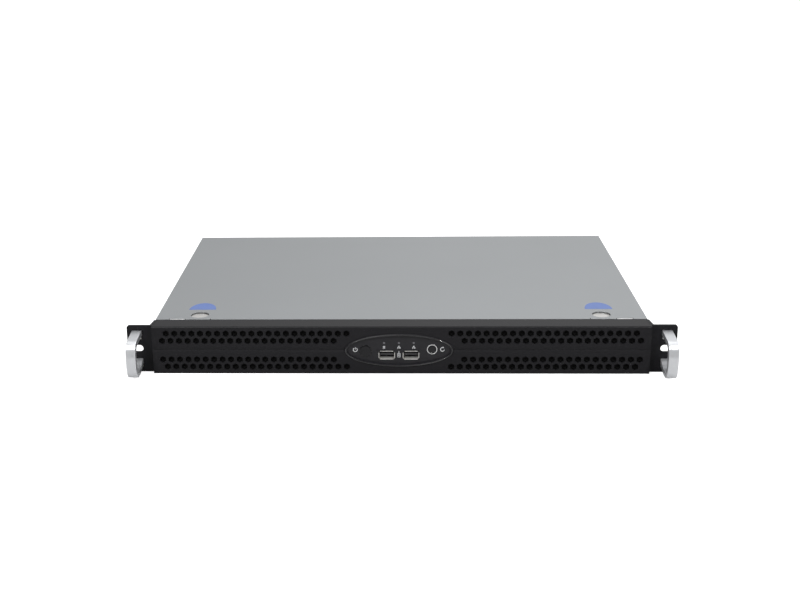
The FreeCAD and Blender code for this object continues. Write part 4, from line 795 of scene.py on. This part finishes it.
def pale_floor():
    """A matt floor lifted to white, on which only the closest shadow stays."""
    material = finish("white_floor", (0.6, 0.6, 0.6), roughness=0.8, mottle=0.0)
    shader = material.node_tree.nodes["Principled BSDF"]
    shader.inputs["Specular IOR Level"].default_value = 0.0
    path = material.node_tree.nodes.new("ShaderNodeLightPath")
    lift = material.node_tree.nodes.new("ShaderNodeMath")
    lift.operation = "MULTIPLY"
    lift.inputs[1].default_value = FLOOR_LIFT
    material.node_tree.links.new(path.outputs["Is Camera Ray"], lift.inputs[0])
    shader.inputs["Emission Color"].default_value = (1, 1, 1, 1)
    material.node_tree.links.new(lift.outputs[0], shader.inputs["Emission Strength"])
    return material


def surrounding_light():
    """Soft light from all round: strongest behind, weaker in front and on the left."""
    world = bpy.data.worlds.new("studio")
    bpy.context.scene.world = world
    world.use_nodes = True
    tree = world.node_tree
    sky = tree.nodes["Background"]
    sky.inputs["Color"].default_value = (1, 1, 1, 1)
    coords = tree.nodes.new("ShaderNodeTexCoord")
    split = tree.nodes.new("ShaderNodeSeparateXYZ")
    depth = tree.nodes.new("ShaderNodeMapRange")
    depth.interpolation_type = "SMOOTHSTEP"
    depth.inputs["From Min"].default_value = -0.7
    depth.inputs["From Max"].default_value = 0.6
    depth.inputs["To Min"].default_value = FRONT_SKY
    depth.inputs["To Max"].default_value = REAR_SKY
    tree.links.new(coords.outputs["Generated"], split.inputs["Vector"])
    tree.links.new(split.outputs["Y"], depth.inputs["Value"])
    aside = tree.nodes.new("ShaderNodeMapRange")
    aside.inputs["From Min"].default_value = -0.45
    aside.inputs["From Max"].default_value = 0.05
    aside.inputs["To Min"].default_value = LEFT_SHARE
    aside.inputs["To Max"].default_value = 1.0
    tree.links.new(split.outputs["X"], aside.inputs["Value"])
    both = tree.nodes.new("ShaderNodeMath")
    both.operation = "MULTIPLY"
    tree.links.new(depth.outputs["Result"], both.inputs[0])
    tree.links.new(aside.outputs["Result"], both.inputs[1])
    tree.links.new(both.outputs[0], sky.inputs["Strength"])
    shown = white_where_seen(tree, sky.outputs[0])
    tree.links.new(shown, tree.nodes["World Output"].inputs["Surface"])


def stand_floor():
    """A wide floor just under the case."""
    shape = bmesh.new()
    bmesh.ops.create_grid(shape, x_segments=1, y_segments=1, size=6.0)
    mesh = bpy.data.meshes.new("floor")
    shape.to_mesh(mesh)
    shape.free()
    floor = bpy.data.objects.new("floor", mesh)
    floor.location.z = cad_box[0][2] - FLOOR_GAP
    bpy.context.scene.collection.objects.link(floor)
    mesh.materials.append(pale_floor())


def lamp(name, place, target, size, power):
    """An area lamp aimed at a target."""
    data = bpy.data.lights.new(name, "AREA")
    data.shape = "RECTANGLE"
    data.size = size[0]
    data.size_y = size[1]
    data.energy = power
    thing = bpy.data.objects.new(name, data)
    thing.location = place
    thing.rotation_mode = "QUATERNION"
    thing.rotation_quaternion = (Vector(target) - Vector(place)).to_track_quat("-Z", "Y")
    bpy.context.scene.collection.objects.link(thing)


def camera():
    """The viewing angle: from before the middle of the front, looking down."""
    bezel_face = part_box("front_bezel")[0].y
    pitch = math.radians(18.13)
    roll = math.radians(1.17)
    yaw = math.radians(3.39)
    turn = (Matrix.Rotation(yaw, 4, "Z") @ Matrix.Rotation(-pitch, 4, "X")
            @ Matrix.Rotation(roll, 4, "Y"))
    aim = Matrix.Rotation(math.radians(90), 4, "X")
    data = bpy.data.cameras.new("camera")
    data.sensor_width = 36.0
    data.lens = 55.69
    data.shift_x = 0.0879
    data.shift_y = 0.004
    data.clip_start = 0.05
    thing = bpy.data.objects.new("camera", data)
    eye_x = 0.48 * MM
    eye_out = 1020.5 * MM
    eye_up = 400.2 * MM
    spot = Matrix.Translation((eye_x, bezel_face - eye_out, eye_up))
    thing.matrix_world = spot @ turn @ aim
    bpy.context.scene.collection.objects.link(thing)
    bpy.context.scene.camera = thing


surrounding_light()
stand_floor()
lamp("key", place=(-0.8, -1.3, 1.7), target=(0, 0, 0), size=(1.4, 1.0), power=11.5)
lamp("fill", place=(1.4, -0.6, 1.3), target=(0, 0, 0), size=(1.2, 1.2), power=7.0)
lamp("top", place=(0.0, 0.5, 1.9), target=(0, 0, 0), size=(1.6, 1.6), power=10.0)
lamp("left_edge", place=(-0.55, -0.85, 0.8), target=(0, -0.14, 0.02), size=(0.06, 0.06),
     power=6.0)
lamp("right_edge", place=(0.55, -0.85, 0.8), target=(0.23, -0.15, 0.02), size=(0.06, 0.06),
     power=4.6)
camera()
bpy.context.scene.view_settings.view_transform = "Standard"
